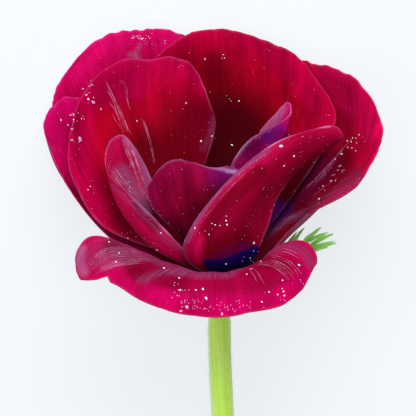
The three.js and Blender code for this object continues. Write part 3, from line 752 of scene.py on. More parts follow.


# A fleshy stem: smooth green skin with pale lengthwise stripes, paler where it is cut, with painted light
# paling its two sides.
def stemMaterial():
    look = stemLook
    material = newMaterial("fleshyStemSkin")
    tree = material.node_tree
    place = addNode(tree, "ShaderNodeUVMap", uv_map="stemMap")
    around = 2 * math.pi * stemShape["radius"]
    scale = (around / look["stripe"][0], stemShape["length"] / look["stripe"][1], 1.0)
    stretched = addNode(tree, "ShaderNodeMapping", {"Vector": place, "Scale": scale})
    stripes = addNode(tree, "ShaderNodeTexNoise", {"Vector": stretched, "Scale": 1.0, "Detail": 3.0})
    even = addNode(tree, "ShaderNodeMapping", {"Vector": place, "Scale": look["clouds"]})
    patches = addNode(tree, "ShaderNodeTexNoise", {"Vector": even, "Scale": 1.0, "Detail": 2.0})
    apart = addNode(tree, "ShaderNodeSeparateXYZ", {"Vector": place})
    # painted light: paler towards both sides of the stem, from the turn round it
    turned = addNode(tree, "ShaderNodeMath", {0: apart.outputs["X"], 1: 2 * math.pi}, operation="MULTIPLY")
    cosine = addNode(tree, "ShaderNodeMath", {0: turned}, operation="COSINE")
    paintedEdgeLights = addNode(tree, "ShaderNodeMath", {0: cosine}, operation="ABSOLUTE")
    marks = {"stripes": stripes, "patches": patches, "paintedEdgeLights": paintedEdgeLights}
    for key, value in marks.items():
        inputs = {"Value": value, **dict(zip(rangeInputs, look["marks"][key]))}
        marks[key] = addNode(tree, "ShaderNodeMapRange", inputs)
    painted = {key: addNode(tree, "ShaderNodeAttribute", attribute_name=key) for key in ("cut", "dark")}
    layers = (
        (marks["stripes"], look["pale"]), (marks["patches"], look["dark"]),
        (marks["paintedEdgeLights"], look["paintedEdgeLight"]),
        (painted["cut"].outputs["Fac"], look["cut"]), (painted["dark"].outputs["Fac"], look["topDark"]),
    )
    return makeSkin(material, look, look["skin"], layers, stripes, {
        "Subsurface Weight": look["fleshDepth"], "Subsurface Radius": [r * mm for r in look["fleshRadius"]],
    })


# Directions across a stem that runs along a direction: level, and square to it.
def acrossStem(along):
    over = np.cross(right, -along)
    over /= np.linalg.norm(over)
    return np.cross(-along, over), over


def stemMesh():
    shape = stemShape
    sides, ringCount = shape["sides"], shape["rings"]
    angles = np.linspace(0, 2 * math.pi, sides, endpoint=False)
    rings, shares = [], []
    for height, radius in shape["top"]:
        ring = np.outer(np.cos(angles), right) + np.outer(np.sin(angles), front)
        rings.append(axis * height + radius * ring)
        shares.append(0.0)
    line, direction = curvePoints(shape["line"], ringCount)
    ribs = shape["ribDepth"] * np.cos(shape["ribs"] * angles)
    for number, (point, along) in enumerate(zip(line, direction)):
        share = number / (ringCount - 1)
        across, over = acrossStem(along)
        radius = shape["radius"] + (shape["endRadius"] - shape["radius"]) * share**3
        swell = sum(depth * math.sin(often * share + start) for depth, often, start in shape["swellings"])
        comeIn = min(1, shape["comeIn"] * share)
        ring = np.outer(np.cos(angles), across) + np.outer(np.sin(angles), over)
        rings.append(point + ring * (radius + swell * comeIn + ribs * comeIn)[:, None])
        shares.append(share)
    end, along, lastRing = line[-1], direction[-1], rings[-1]
    for inward, sunk in shape["cutRings"]:
        rings.append(end + (lastRing - end) * inward - along * shape["cutDepth"] * sunk)
        shares.append(1.0)
    places = np.concatenate(rings)
    places[:, 2] = np.maximum(places[:, 2], -flower["centre"][2])
    index = np.arange(len(places))
    ring = index // sides
    masks = {"cut": ring >= len(rings) - len(shape["cutRings"]), "dark": ring < shape["darkRings"]}
    masks = {key: mask.astype(float) for key, mask in masks.items()}
    mesh = newMesh("stem_fine", toScene(places), ringFaces(len(rings), sides), masks)
    layOut(mesh, "stemMap", np.stack([(index % sides) / sides, np.array(shares)[ring]], -1))
    return mesh, line, direction


# Hairs stand out from a surface as thin three-sided spikes.
def spikes(name, roots, ways, lengths, radius):
    places, faces = [], []
    for root, way, length in zip(roots, ways, lengths):
        way = Vector(way).normalized()
        side = way.orthogonal().normalized() * radius
        first = len(places)
        for turn in (0, 2.094, 4.189):  # a third of a turn apart
            places.append(tuple(Vector(root) + Matrix.Rotation(turn, 3, way) @ side))
        places.append(tuple(Vector(root) + way * length))
        corners = ((0, 2, 1), (0, 1, 3), (1, 2, 3), (2, 0, 3))
        faces += [tuple(first + corner for corner in face) for face in corners]
    return newMesh(name, toScene(places), faces)


hairLook = {"colour": "#fbfff0", "roughness": 0.6, "gloss": 0.5, "translucence": 0.5}


# Plant hair: clear and pale, so that it edges the green with light.
def hairMaterial():
    material = newMaterial("paleDownyHair")
    return makeSkin(material, hairLook, hairLook["colour"])


hairs = {
    "count": 4000, "shortest": 0.3, "longest": 0.9, "radius": 0.03, "lean": 0.5, "rooted": 0.05,
    "clear": 0.15, "bareRings": (4, 2), "seed": 4,
    "leafShare": 0.5, "leafShortest": 0.2, "leafLongest": 0.6, "leafLean": 0.8,
}


def stemHairs(line, direction):
    draw = random.Random(hairs["seed"])
    roots, ways, lengths = [], [], []
    bareFoot, bareEnd = hairs["bareRings"]
    lowest = hairs["clear"] - flower["centre"][2]
    while len(roots) < hairs["count"]:
        number = draw.randrange(bareFoot, len(line) - bareEnd)
        along = direction[number]
        angle = draw.uniform(0, 2 * math.pi)
        across, over = acrossStem(along)
        out = math.cos(angle) * across + math.sin(angle) * over
        root = line[number] + out * (stemShape["radius"] - hairs["rooted"])
        way = out + along * draw.uniform(-hairs["lean"], hairs["lean"])
        length = draw.uniform(hairs["shortest"], hairs["longest"])
        if root[2] + min(0, way[2]) * length > lowest:
            roots.append(root)
            ways.append(way)
            lengths.append(length)
    return spikes("stem_hairs", roots, ways, lengths, hairs["radius"])


mesh, stemLine, stemDirection = stemMesh()
addPiece("stem_fine", mesh, stemMaterial(), "stem_green", "stem")
hairSkin = hairMaterial()
addPiece("stem_hairs", stemHairs(stemLine, stemDirection), hairSkin, "stem_green")
print("stem made")


# The collar's leaves: a rib from the stem out, the way the upper side faces, and how far
# the leaflets spread on each side of the rib.
bracts = {
    "bract_right": {
        "rib": [(3.8, -7, -1.6), (10, -3.5, 0.8), (17, 3, 3.2), (22.5, 7, 4), (28.5, 8.8, 4)],
        "facing": (-0.3, 0.4, 0.85), "spread": (1, 0.25), "seed": 5,
    },
    "bract_left": {
        "rib": [(-3.7, -6.8, -3), (-9, -5, -8), (-17, 0, -12), (-24, 4, -14), (-29, 7, -16)],
        "facing": (0.35, 0.75, 0.5), "spread": (1, 1), "seed": 8,
    },
    "bract_back": {
        "rib": [(0, -7.2, -5.9), (2, -8, -12), (5, -4, -19), (8, 1, -24), (10, 6, -27)],
        "facing": (0, 0.8, 0.6), "spread": (1, 1), "seed": 13,
    },
}
# Each leaflet runs from a point to its tip, along and across the rib, and has its width.
leafletLists = {
    "rib": [((0, 0), (31, 0), 1.8)],
    "side": [
        ((10, 0), (19.5, 4.2), 1.6), ((14.5, 0.6), (24.5, 5.8), 1.8), ((17, 2.2), (23, 5.6), 1.2),
        ((19, 0), (28.5, 4.6), 1.7), ((23, 2.2), (29, 2.6), 1.1), ((23, 0), (30.5, 2), 1.2),
    ],
}
leafletShape = {
    "thickness": 0.5, "jitter": 0.5, "bend": 0.35, "ribSteps": 200, "stations": 18, "around": 12,
    "fold": 0.28, "teeth": 0.12, "toothTurn": 2.2, "foot": 0.22, "fullness": 0.75, "leastWidth": 0.03,
    "edge": 0.35, "end": 0.3,  # how thick they are, as shares of the thickness
}
leafLook = {
    "skin": "#6cb42e", "pale": "#a4d87c", "dark": "#367a18", "clouds": (5.0, 3.0, 1.0),
    # for clouds, tip and rib: the colour, where it starts and is full, and its strength there
    "marks": (("dark", 0.35, 0.65, 0.0, 0.6), ("pale", 0.3, 1.0, 0.0, 0.7), ("dark", 0.02, 0.2, 0.6, 0.0)),
    "roughness": 0.55, "gloss": 0.25, "translucence": 0.3,
}


# Leaf tissue: matt fresh green, darker along the ribs and paler at the tips.
def leafMaterial():
    look = leafLook
    material = newMaterial("mattLeafTissue")
    tree = material.node_tree
    place = addNode(tree, "ShaderNodeUVMap", uv_map="leafMap")
    apart = addNode(tree, "ShaderNodeSeparateXYZ", {"Vector": place})
    even = addNode(tree, "ShaderNodeMapping", {"Vector": place, "Scale": look["clouds"]})
    clouds = addNode(tree, "ShaderNodeTexNoise", {"Vector": even, "Scale": 1.0, "Detail": 3.0})
    layers = []
    for value, (over, *ends) in zip((clouds, apart.outputs["Y"], apart.outputs["X"]), look["marks"]):
        inputs = {"Value": value, **dict(zip(rangeInputs, ends))}
        layers.append((addNode(tree, "ShaderNodeMapRange", inputs), look[over]))
    return makeSkin(material, look, look["skin"], layers)


def leafletsOf(shape, draw):
    leaflets = list(leafletLists["rib"])
    for way, spread in zip((1, -1), shape["spread"]):
        for start, tip, width in leafletLists["side"]:
            jitter = draw.uniform(-1, 1), draw.random()
            tip = [place + leafletShape["jitter"] * by for place, by in zip(tip, jitter)]
            leaflets.append(((start[0], way * spread * start[1]), (tip[0], way * spread * tip[1]), width))
    return leaflets


# For a distance along a leaf's rib: the place there, the rib's direction, and the directions
# up and across from it.
def ribOf(shape):
    tables = curvePoints(shape["rib"], leafletShape["ribSteps"])
    steps = np.linalg.norm(np.diff(tables[0], axis=0), axis=1)
    reached = np.concatenate([[0], np.cumsum(steps)])

    def ribAt(along):
        along = min(max(along, 0), reached[-1])
        point, tangent = (
            np.array([np.interp(along, reached, column) for column in table.T]) for table in tables
        )
        tangent /= np.linalg.norm(tangent)
        normal = np.array(shape["facing"], float)
        normal -= tangent * normal.dot(tangent)
        normal /= np.linalg.norm(normal)
        return point, tangent, normal, np.cross(normal, tangent)

    return ribAt


# A leaf and its hairs, which stand along the leaflets' edges.
def bractMesh(name, shape):
    draw = random.Random(shape["seed"])
    leaflet = leafletShape
    ribAt = ribOf(shape)
    stations, around = leaflet["stations"], leaflet["around"]
    places, faces, mapPlaces, roots, ways = [], [], [], [], []
    for start, tip, width in leafletsOf(shape, draw):
        heading = np.array(tip) - np.array(start)
        size = np.linalg.norm(heading)
        heading = heading / size
        bend = draw.uniform(-leaflet["bend"], leaflet["bend"])
        first = len(places)
        for share in (station / (stations - 1) for station in range(stations)):
            along, sidewaysBy = (a + (b - a) * share for a, b in zip(start, tip))
            point, tangent, normal, sideways = ribAt(along)
            centre = point + sideways * (sidewaysBy + bend * math.sin(math.pi * share))
            centre = centre + normal * 0.5 * bend * share**2
            across = sideways * heading[0] - tangent * heading[1]
            full = max(0.0, math.sin(math.pi * atLeast(leaflet["foot"], share))) ** leaflet["fullness"]
            tooth = 1 + leaflet["teeth"] * math.sin(share * size * leaflet["toothTurn"] + start[0])
            half = width / 2 * (full * tooth + leaflet["leastWidth"])
            for step in range(around):
                angle = 2 * math.pi * step / around
                out, up = math.cos(angle), math.sin(angle)
                thick = leaflet["thickness"] / 2 * atLeast(leaflet["edge"], 1 - abs(out))
                lift = up * (thick * atLeast(leaflet["end"], full)) + leaflet["fold"] * half * abs(out)
                places.append(centre + across * half * out + normal * lift)
                mapPlaces.append((abs(out), share))
                if step in (0, around // 2):
                    roots.append(places[-1])
                    ways.append(across * out + hairs["leafLean"] * tangent)
        faces += ringFaces(stations, around, first)
    mesh = newMesh(name, toScene(places), faces)
    layOut(mesh, "leafMap", np.array(mapPlaces))
    chosen = [number for number in range(len(roots)) if draw.random() < hairs["leafShare"]]
    lengths = [draw.uniform(hairs["leafShortest"], hairs["leafLongest"]) for _ in chosen]
    roots, ways = ([table[number] for number in chosen] for table in (roots, ways))
    return mesh, spikes(name + "_hairs", roots, ways, lengths, hairs["radius"])


leafSkin = leafMaterial()
for node, shape in bracts.items():
    mesh, hairMesh = bractMesh(node + "_fine", shape)
    addPiece(node + "_fine", mesh, leafSkin, "leaf_green", node)
    addPiece(node + "_hairs", hairMesh, hairSkin, "leaf_green")
print("collar made")


# The boss: a dome close-set with pistils, and the ring of stamens round it. Heights are on
# the bloom's axis. Each pistil's profile is its height and radius from its foot up, as shares.
bossShape = {
    "radius": 4.1, "bottom": 3.5, "top": 8.9, "sides": 40, "rings": 24, "roundness": 0.6, "seed": 21,
    "pistils": 230, "pistilRadius": 0.27, "pistilHeight": 0.75, "pistilSides": 7, "sunk": 0.25,
    "coverage": 1.25, "goldenTurn": 137.508, "shoulder": 0.8, "upright": 0.2, "heightJitter": (0.8, 1.15),
    "profile": ((-0.3, 0.7), (0.1, 1.0), (0.45, 0.85), (0.75, 0.4), (0.85, 0.5), (1, 0.25)),
}
stamenShape = {
    "count": 46, "foot": 3.7, "footHeight": 4.4, "reach": 5.0, "tipHeight": 9.2, "neck": 1.1,
    "turnJitter": 0.4, "tipJitter": 2.4, "reachJitter": 0.5, "bend": 0.35,
    "filament": 0.13, "filamentSteps": 8, "filamentSides": 6, "bowOut": 0.05, "bowUp": 0.3,
    "anther": 0.36, "antherSteps": 7, "antherSides": 8, "slim": 0.75, "lobeApart": 0.2, "lobeLift": 0.35,
    "lobeHalf": 0.75, "lobeUp": 0.98, "lobeIn": 0.15,
}
bossLook = {
    "pistil": "#1c1838", "anther": "#2a2450", "dust": "#6a6a9a", "grain": 0.25, "dusty": (0.5, 0.62),
    "roughness": 0.75, "gloss": 0.2, "bump": 0.5, "bumpDepth": 0.1,
}


# Pistils and anthers: matt navy black, with paler pollen dust on the anthers.
def bossMaterial():
    look = bossLook
    material = newMaterial("pollenDustedBoss")
    tree = material.node_tree
    place = addNode(tree, "ShaderNodeTexCoord").outputs["Object"]
    anther = addNode(tree, "ShaderNodeAttribute", attribute_name="anther").outputs["Fac"]
    grains = addNode(tree, "ShaderNodeTexNoise", {
        "Vector": place, "Scale": 1 / (look["grain"] * mm), "Detail": 2.0,
    })
    dusted = addNode(tree, "ShaderNodeMapRange", {"Value": grains, **dict(zip(rangeInputs, look["dusty"]))})
    dust = addNode(tree, "ShaderNodeMath", {0: dusted, 1: anther}, operation="MULTIPLY")
    layers = ((anther, look["anther"]), (dust, look["dust"]))
    return makeSkin(material, look, look["pistil"], layers, grains)


# Adds a closed round body along a path, with a radius at each point of it.
def addRound(places, faces, path, radii, sides):
    path = np.array(path, float)
    first = len(places)
    for number, point in enumerate(path):
        along = path[min(number + 1, len(path) - 1)] - path[max(number - 1, 0)]
        along = Vector(along).normalized()
        across = along.orthogonal().normalized()
        over = along.cross(across)
        for side in range(sides):
            angle = 2 * math.pi * side / sides
            places.append(point + radii[number] * np.array(across * math.cos(angle) + over * math.sin(angle)))
    faces += ringFaces(len(path), sides, first)


def bossMesh():
    shape = bossShape
    draw = random.Random(shape["seed"])
    places, faces = [], []
    middle = (shape["bottom"] + shape["top"]) / 2
    half = (shape["top"] - shape["bottom"]) / 2
    lifts = [-math.cos(math.pi * ring / shape["rings"]) for ring in range(shape["rings"] + 1)]
    radii = [shape["radius"] * max(1 - lift**2, 0.0001) ** (shape["roundness"] / 2) for lift in lifts]
    addRound(places, faces, [axis * (middle + half * lift) for lift in lifts], radii, shape["sides"])
    for number in range(shape["pistils"]):
        lean = math.acos(1 - shape["coverage"] * (number + 0.5) / shape["pistils"])
        turn = math.radians(shape["goldenTurn"] * number)
        outward = right * math.cos(turn) + front * math.sin(turn)
        reach = shape["radius"] * math.sin(lean) ** shape["shoulder"]
        foot = outward * reach + axis * (middle + half * math.cos(lean))
        way = outward * math.sin(lean) + axis * (math.cos(lean) + shape["upright"])
        way = way / np.linalg.norm(way)
        height = shape["pistilHeight"] * draw.uniform(*shape["heightJitter"])
        path = [foot + way * height * (up - shape["sunk"]) for up, _ in shape["profile"]]
        radii = [shape["pistilRadius"] * share for _, share in shape["profile"]]
        addRound(places, faces, path, radii, shape["pistilSides"])
    pistilEnd = len(places)
    addStamens(places, faces, draw)
    anther = (np.arange(len(places)) >= pistilEnd).astype(float)
    return newMesh("boss_and_stamens_fine", toScene(places), faces, {"anther": anther})


# Each stamen is a filament that bows out from the receptacle, with a two-lobed anther.
def addStamens(places, faces, draw):
    shape = stamenShape
    footHeight, steps = shape["footHeight"], np.linspace(0, 1, shape["filamentSteps"])
    lobeSteps = np.linspace(-1, 1, shape["antherSteps"])
    widest = shape["anther"] * shape["slim"]
    for number in range(shape["count"]):
        turn = 2 * math.pi * (number + shape["turnJitter"] * draw.random()) / shape["count"]
        outward = right * math.cos(turn) + front * math.sin(turn)
        sideways = front * math.cos(turn) - right * math.sin(turn)
        tip = shape["tipHeight"] - draw.uniform(0, shape["tipJitter"])
        reach = shape["reach"] - draw.uniform(0, shape["reachJitter"])
        bend = draw.uniform(-shape["bend"], shape["bend"])
        foot = outward * shape["foot"] + axis * footHeight
        neck = outward * reach + sideways * bend + axis * (tip - shape["neck"])
        bow = outward * (reach + shape["bowOut"]) + axis * (footHeight + shape["bowUp"] * (tip - footHeight))
        path = [foot * (1 - t) ** 2 + bow * 2 * t * (1 - t) + neck * t**2 for t in steps]
        addRound(places, faces, path, [shape["filament"]] * len(steps), shape["filamentSides"])
        for lobe in (-1, 1):
            middle = neck + sideways * lobe * shape["lobeApart"] + axis * shape["lobeLift"]
            way = axis * shape["lobeUp"] - outward * shape["lobeIn"]
            path = [middle + way * lift * shape["lobeHalf"] for lift in lobeSteps]
            radii = [widest * math.sqrt(max(1 - lift**2, 0.02)) for lift in lobeSteps]
            addRound(places, faces, path, radii, shape["antherSides"])


addPiece("boss_and_stamens_fine", bossMesh(), bossMaterial(), "boss_navy", "boss_and_stamens")
print("boss made")


# Pollen grains and flakes of dust on the petals. The largest are listed one by one: pixel of the
# picture, radius in pixels. Groups of small ones are seeded round a pixel: how wide and high
# the group is, how many there are, and their radius. The finest lie all over, also seeded.
# Real grains are 0.03 mm and wouldn't show, so these stand for clumps of them.
pollenLook = {
    "white": "#f0f2f8", "lilac": "#cf9fd0", "roughness": 0.6, "gloss": 0.4, "flatness": 0.5,
    "flake": 0.35, "flakeFlatness": 0.2, "size": 0.78, "sizeJitter": (0.6, 1.25),
    "stretch": (0.75, 1.3), "rough": (0.75, 1.15),
}
pollenScatter = {
    "count": 1700, "smallest": 0.04, "largest": 0.12, "inside": 0.75, "seed": 33,
    "shares": {"white": 0.25, "lilac": 0.75},
}
pollenSpots = {
    "white": [
        (142, 39, 1.2), (88, 99, 1.4), (74, 115, 1.2), (61, 120, 1.4), (68, 125, 1.3), (201, 141, 1.5),
        (212, 136, 1.2), (205, 59, 1.3), (239, 101, 1.3), (232, 145, 1.5), (281, 146, 2.3), (294, 156, 1.4),
        (284, 166, 1.1), (359, 135, 1.3), (341, 154, 1.2), (335, 159, 1.2), (323, 186, 1.2), (319, 199, 1.6),
        (195, 228, 1.2), (109, 242, 1.3), (119, 253, 1.2), (116, 262, 1.2), (157, 250, 1.2), (164, 268, 1.5),
        (179, 278, 1.2), (180, 290, 1.2), (203, 289, 1.6), (196, 290, 1.2), (206, 298, 1.8), (254, 243, 1.6),
        (226, 264, 1.2), (299, 265, 1.6), (269, 292, 1.2), (262, 302, 1.3), (137, 121, 0.9), (101, 109, 0.9),
    ],
    "lilac": [
        (80, 139, 4.2), (93, 102, 2.6), (83, 89, 1.6), (72, 129, 1.8), (161, 233, 1.4), (186, 103, 1.5),
        (342, 154, 1.7), (331, 181, 2.3), (181, 311, 1.9), (187, 307, 2.3), (222, 314, 2.0),
    ],
}
pollenGroups = {
    "white": [
        (141, 37, 11, 2.5, 18, 0.7), (92, 96, 7, 6, 6, 0.8), (77, 118, 9, 6, 12, 0.9),
        (74, 141, 8, 3, 4, 1.0), (355, 144, 9, 10, 9, 1.0), (336, 172, 9, 12, 10, 0.95),
        (226, 57, 5, 3, 3, 0.75), (228, 222, 10, 8, 4, 1.0), (132, 238, 8, 9, 4, 0.9),
        (250, 262, 13, 13, 11, 0.95), (275, 290, 24, 12, 5, 1.0), (224, 98, 8, 12, 3, 0.6),
        (318, 196, 12, 8, 4, 0.8), (110, 185, 24, 30, 6, 0.8), (215, 232, 14, 10, 4, 0.9),
    ],
    "lilac": [
        (204, 304, 26, 7, 44, 0.65), (236, 308, 20, 5, 12, 0.7), (180, 292, 10, 12, 14, 0.7),
        (300, 284, 14, 14, 10, 0.7),
        (164, 43, 3, 3, 4, 0.8), (88, 84, 5, 5, 6, 0.9), (262, 300, 28, 8, 10, 0.6), (144, 45, 20, 6, 8, 0.6),
    ],
}


# A grain: an icosahedron, flattened against the petal that it lies on and a little uneven.
def addGrain(places, faces, point, normal, radius, draw):
    first = len(places)
    turn = Vector((0, 0, 1)).rotation_difference(normal).to_matrix()
    spin = Matrix.Rotation(draw.uniform(0, wholeTurn), 3, "Z")
    stretch = draw.uniform(*pollenLook["stretch"])
    flatness = pollenLook["flakeFlatness" if radius > pollenLook["flake"] * mm else "flatness"]
    for corner in grainCorners:
        shaped = Vector((corner.x * stretch, corner.y / stretch, corner.z * flatness))
        shaped *= radius * draw.uniform(*pollenLook["rough"])
        places.append(Vector(point) + turn @ (spin @ shaped))
    faces += [tuple(first + corner for corner in face) for face in grainFaces]


def grainShape():
    ball = bmesh.new()
    bmesh.ops.create_icosphere(ball, subdivisions=1, radius=1)
    corners = [vertex.co.copy() for vertex in ball.verts]
    faces = [[vertex.index for vertex in face.verts] for face in ball.faces]
    ball.free()
    return corners, faces


# Pollen: matt waxy grains, nearly white or tinted lilac.
def pollenMaterial(tint):
    material = newMaterial(tint + "PollenGrain")
    return makeSkin(material, pollenLook, pollenLook[tint])


def pollenMesh(tint, share):
    draw = random.Random(pollenScatter["seed"] + len(tint))
    places, faces = [], []
    eye = eyePoint()
    pixel = mm / view["pixelsPerMm"]
    spots = list(pollenSpots[tint])
    for x, y, wide, high, count, radius in pollenGroups[tint]:
        for _ in range(count):
            out, turn = math.sqrt(draw.random()), draw.uniform(0, 2 * math.pi)
            place = x + wide * out * math.cos(turn), y + high * out * math.sin(turn)
            spots.append((*place, radius * draw.uniform(*pollenLook["sizeJitter"])))
    for x, y, radius in spots:
        hit, normal, _, _ = petalTree.ray_cast(eye, towardsPixel(x, y))
        if hit is not None:
            addGrain(places, faces, hit, normal, pollenLook["size"] * radius * pixel, draw)
    for _ in range(int(pollenScatter["count"] * share)):
        piece = petalPieces[draw.choice(sorted(petalPieces))]
        half = len(piece.data.vertices) // 2
        face = 0 if draw.random() < pollenScatter["inside"] else half
        vertex = piece.data.vertices[draw.randrange(half // 3, half) + face]  # none on the claw
        radius = draw.uniform(pollenScatter["smallest"], pollenScatter["largest"]) * mm
        addGrain(places, faces, vertex.co, vertex.normal, radius, draw)
    return newMesh(tint + "_pollen", places, faces, smooth=False)


grainCorners, grainFaces = grainShape()
petalTrees = {}
petalCorners, petalFaces = [], []
for node, piece in petalPieces.items():
    first = len(petalCorners)
    corners = [vertex.co.copy() for vertex in piece.data.vertices]
    faces = [tuple(face.vertices) for face in piece.data.polygons]
    petalTrees[node] = BVHTree.FromPolygons(corners, faces)
    petalCorners += corners
    petalFaces += [tuple(first + corner for corner in face) for face in faces]
petalTree = BVHTree.FromPolygons(petalCorners, petalFaces)
for tint, share in pollenScatter["shares"].items():
    addPiece(tint + "_pollen", pollenMesh(tint, share), pollenMaterial(tint), "petal_magenta")
print("pollen made")


# Veins that stand out on the petals, in bundles. Each has its petal, tint, number, radius in
# millimetres, how ragged its ends are, and the paths of its first and last vein in the picture.
veinLook = {
    # the raised vein and the petal round it, for each tint; the lilac's paleness is partly painted sheen on
    # the ridges
    "lilac": ("#d890bc", "#981444"), "wine": ("#4c0010", "#8c001e"),
    # patches in which veins sink in, in millimetres, and where each starts and is full
    "patch": 2.5, "sunk": (0.4, 0.62, 0.0, 0.8), "roughness": 0.6, "gloss": 0.015,
    # a vein ends at a step longer than this many millimetres, and one of too few steps is left out
    "pathSteps": 100, "steps": 36, "longestStep": 2, "fewestSteps": 4, "seed": 51,
    "wobble": 0.25, "wobbles": (8, 16), "placeJitter": 0.4, "radiusJitter": (0.7, 1.1),
    # its section, across and up, as shares of its radius, and how far that stands out
    "section": ((1, 0), (0, 0.5), (-1, 0), (0, -0.5)), "raised": 0.2, "thinnest": 0.25,
}
veinBundles = [
    ("petal_left_inner", "lilac", 4, 0.05, 0.12,
     [(104.6, 77.6), (112.5, 100), (120, 122), (124, 134)],
     [(107, 83), (118, 104), (128, 126), (132, 136)]),
    ("petal_left_inner", "lilac", 3, 0.045, 0.25,
     [(105, 89), (112, 98), (131.7, 134.5)],
     [(111, 112), (115, 119), (124, 134)]),
    ("petal_left_inner", "lilac", 2, 0.05, 0.1,
     [(118.7, 79), (125, 87), (127, 100), (130.6, 112)],
     [(121, 79), (126, 86), (127.6, 98), (128.5, 104)]),
    ("petal_left_inner", "lilac", 2, 0.05, 0.1,
     [(141.5, 116), (147, 128), (152, 146), (157, 170)],
     [(140, 115), (146, 130), (150.5, 147), (155, 168)]),
    ("petal_left_narrow", "lilac", 10, 0.068, 0.2,
     [(120, 136), (126, 152), (134, 172), (144, 197)],
     [(134, 138), (140, 150), (146, 168), (149, 190)]),
    ("petal_left_narrow", "lilac", 7, 0.06, 0.25,
     [(107, 160), (111, 174), (120, 186), (133, 194)],
     [(111, 158), (120, 174), (132, 188), (148, 204)]),
    ("petal_right", "lilac", 6, 0.034, 0.35,
     [(360.5, 129), (343.8, 148), (327.8, 172), (316, 185), (294, 201)],
     [(348, 142), (332, 160), (314, 180), (302, 190), (285, 205)]),
    ("petal_right", "lilac", 10, 0.042, 0.3,
     [(348.6, 173), (334, 179), (324.6, 186), (313.5, 195), (301.5, 204)],
     [(353, 186), (336, 192), (324.6, 197), (317.5, 202), (303, 209)]),
    ("petal_right", "lilac", 10, 0.045, 0.2,
     [(318, 203), (303, 210), (285, 220), (268, 236)],
     [(312, 214), (300, 218), (288, 224), (276, 236)]),
    ("petal_front", "lilac", 16, 0.05, 0.3,
     [(262, 250), (280, 247), (298, 252), (311, 262)],
     [(254, 266), (270, 266), (284, 275), (293, 290)]),
    ("petal_front", "lilac", 11, 0.055, 0.3,
     [(172, 266), (160, 272), (146, 280)],
     [(252, 262), (262, 274), (270, 286)]),
    ("petal_front", "lilac", 24, 0.05, 0.3,
     [(140, 247), (118, 240), (96, 243), (80, 262)],
     [(160, 262), (134, 264), (112, 268), (98, 278)]),
    ("petal_right_front", "lilac", 4, 0.026, 0.35,
     [(299, 134), (266, 153), (240, 172), (214, 198), (198, 220), (188, 241)],
     [(300, 137), (268, 157), (243, 176), (218, 202), (202, 224), (191, 247)]),
    ("petal_right_front", "wine", 22, 0.05, 0.25,
     [(203, 256), (204, 236), (214, 214)],
     [(244, 246), (268, 212), (292, 168)]),
    ("petal_centre", "wine", 20, 0.045, 0.3,
     [(178, 238), (162, 215), (152, 190)],
     [(192, 238), (208, 206), (222, 176)]),
    ("petal_right_curled", "lilac", 8, 0.05, 0.2,
     [(252, 143), (260, 128), (272, 112)],
     [(268, 133), (276, 124), (284, 108)]),
]


# Raised vein tissue: silky and pale, broken up where it sinks back into the petal. The lilac veins' paleness
# is partly painted sheen on their ridges.
def veinMaterial(tint):
    look = veinLook
    material = newMaterial(tint + "VeinTissue")
    tree = material.node_tree
    place = addNode(tree, "ShaderNodeTexCoord").outputs["Object"]
    patches = addNode(tree, "ShaderNodeTexNoise", {
        "Vector": place, "Scale": 1 / (look["patch"] * mm), "Detail": 2.0,
    })
    sunk = addNode(tree, "ShaderNodeMapRange", {"Value": patches, **dict(zip(rangeInputs, look["sunk"]))})
    raised, base = look[tint]
    return makeSkin(material, look, raised, [(sunk, base)])


# Lays one vein on a petal along pixels of the picture, as a thin ridge that tapers at its ends.
def addVein(places, faces, tree, pixels, radius):
    eye = eyePoint()
    laid = []
    for x, y in pixels:
        hit, normal, _, _ = tree.ray_cast(eye, towardsPixel(x, y))
        if hit is None or (laid and (hit - laid[-1][0]).length > veinLook["longestStep"] * mm):
            break
        laid.append((hit, normal))
    if len(laid) < veinLook["fewestSteps"]:
        return
    first = len(places)
    for number, (point, normal) in enumerate(laid):
        along = laid[min(number + 1, len(laid) - 1)][0] - laid[max(number - 1, 0)][0]
        across = along.cross(normal).normalized()
        full = math.sqrt(abs(math.sin(math.pi * number / (len(laid) - 1))))
        size = radius * atLeast(veinLook["thinnest"], full)
        for out, up in veinLook["section"]:
            places.append(point + across * size * out + normal * size * (up + veinLook["raised"]))
    faces += ringFaces(len(laid), 4, first)


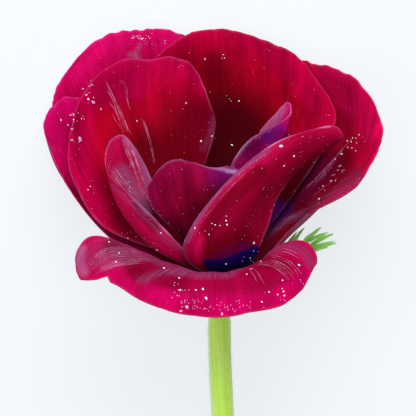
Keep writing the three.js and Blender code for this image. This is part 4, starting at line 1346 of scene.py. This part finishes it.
def veinMesh(tint):
    look = veinLook
    draw = random.Random(look["seed"])
    places, faces = [], []
    share = np.linspace(0, 1, look["pathSteps"])
    for petal, ofTint, count, radius, ragged, *ends in veinBundles:
        if ofTint != tint:
            continue
        first, last = (curveWeights(share, len(end)) @ np.array(end, float) for end in ends)
        for number in range(count):
            jitter = draw.uniform(-look["placeJitter"], look["placeJitter"])
            place = np.clip((number + jitter) / max(count - 1, 1), 0, 1)
            start, stop = draw.uniform(0, ragged), 1 - draw.uniform(0, ragged)
            kept = np.linspace(start, stop, look["steps"])
            path = first + (last - first) * place
            wobble = np.sin(kept * draw.uniform(*look["wobbles"]) + draw.uniform(0, wholeTurn))
            x, y = (np.interp(kept, share, path[:, k]) for k in (0, 1))
            size = radius * draw.uniform(*look["radiusJitter"]) * mm
            addVein(places, faces, petalTrees[petal], zip(x + look["wobble"] * wobble, y), size)
    return newMesh(tint + "_veins", places, faces)


for tint in ("lilac", "wine"):
    addPiece(tint + "_veins", veinMesh(tint), veinMaterial(tint), "petal_magenta")
print("veins made")


floorLook = {
    "side": 3.0, "colour": "#64686c", "roughness": 0.6, "gloss": 0.5, "glow": 0.785, "glowColour": "#f6f9fc",
}


def addFloor():
    half = floorLook["side"] / 2
    corners = [(-half, -half, 0), (half, -half, 0), (half, half, 0), (-half, half, 0)]
    mesh = newMesh("floor", corners, [(0, 1, 2, 3)], smooth=False)
    material = newMaterial("mattPaperOnLightTable")  # lit from below as well, so shadows stay light
    glow = {"Emission Color": linear(floorLook["glowColour"]), "Emission Strength": floorLook["glow"]}
    mesh.materials.append(makeSkin(material, floorLook, floorLook["colour"], more=glow))
    floor = bpy.data.objects.new("floor", mesh)
    scene.collection.objects.link(floor)


lights = {
    "window": {"from": (0.05, 0.5, 0.6), "side": 0.6, "watts": 6.4, "colour": "#ffffff"},
    "fill": {"from": (-0.25, -0.2, 0.8), "side": 0.8, "watts": 3.8, "colour": "#f4f8ff"},
}
lightsAim = (0.01, -0.02, 0.03)  # the bloom
sky = {"colour": "#eef4fb", "strength": 0.32}


def addLight(name, look):
    data = bpy.data.lights.new(name, "AREA")
    data.size = look["side"]
    data.energy = look["watts"]
    data.color = linear(look["colour"])[:3]
    light = bpy.data.objects.new(name, data)
    light.location = look["from"]
    aim = Vector(lightsAim) - light.location
    light.rotation_euler = aim.to_track_quat("-Z", "Y").to_euler()
    scene.collection.objects.link(light)


def addSky():
    world = bpy.data.worlds.new("daylight")
    world.use_nodes = True
    background = world.node_tree.nodes["Background"]
    background.inputs["Color"].default_value = linear(sky["colour"])
    background.inputs["Strength"].default_value = sky["strength"]
    scene.world = world


addFloor()
for name, look in lights.items():
    addLight(name, look)
addSky()
scene.view_settings.view_transform = "Standard"
print("stage set")
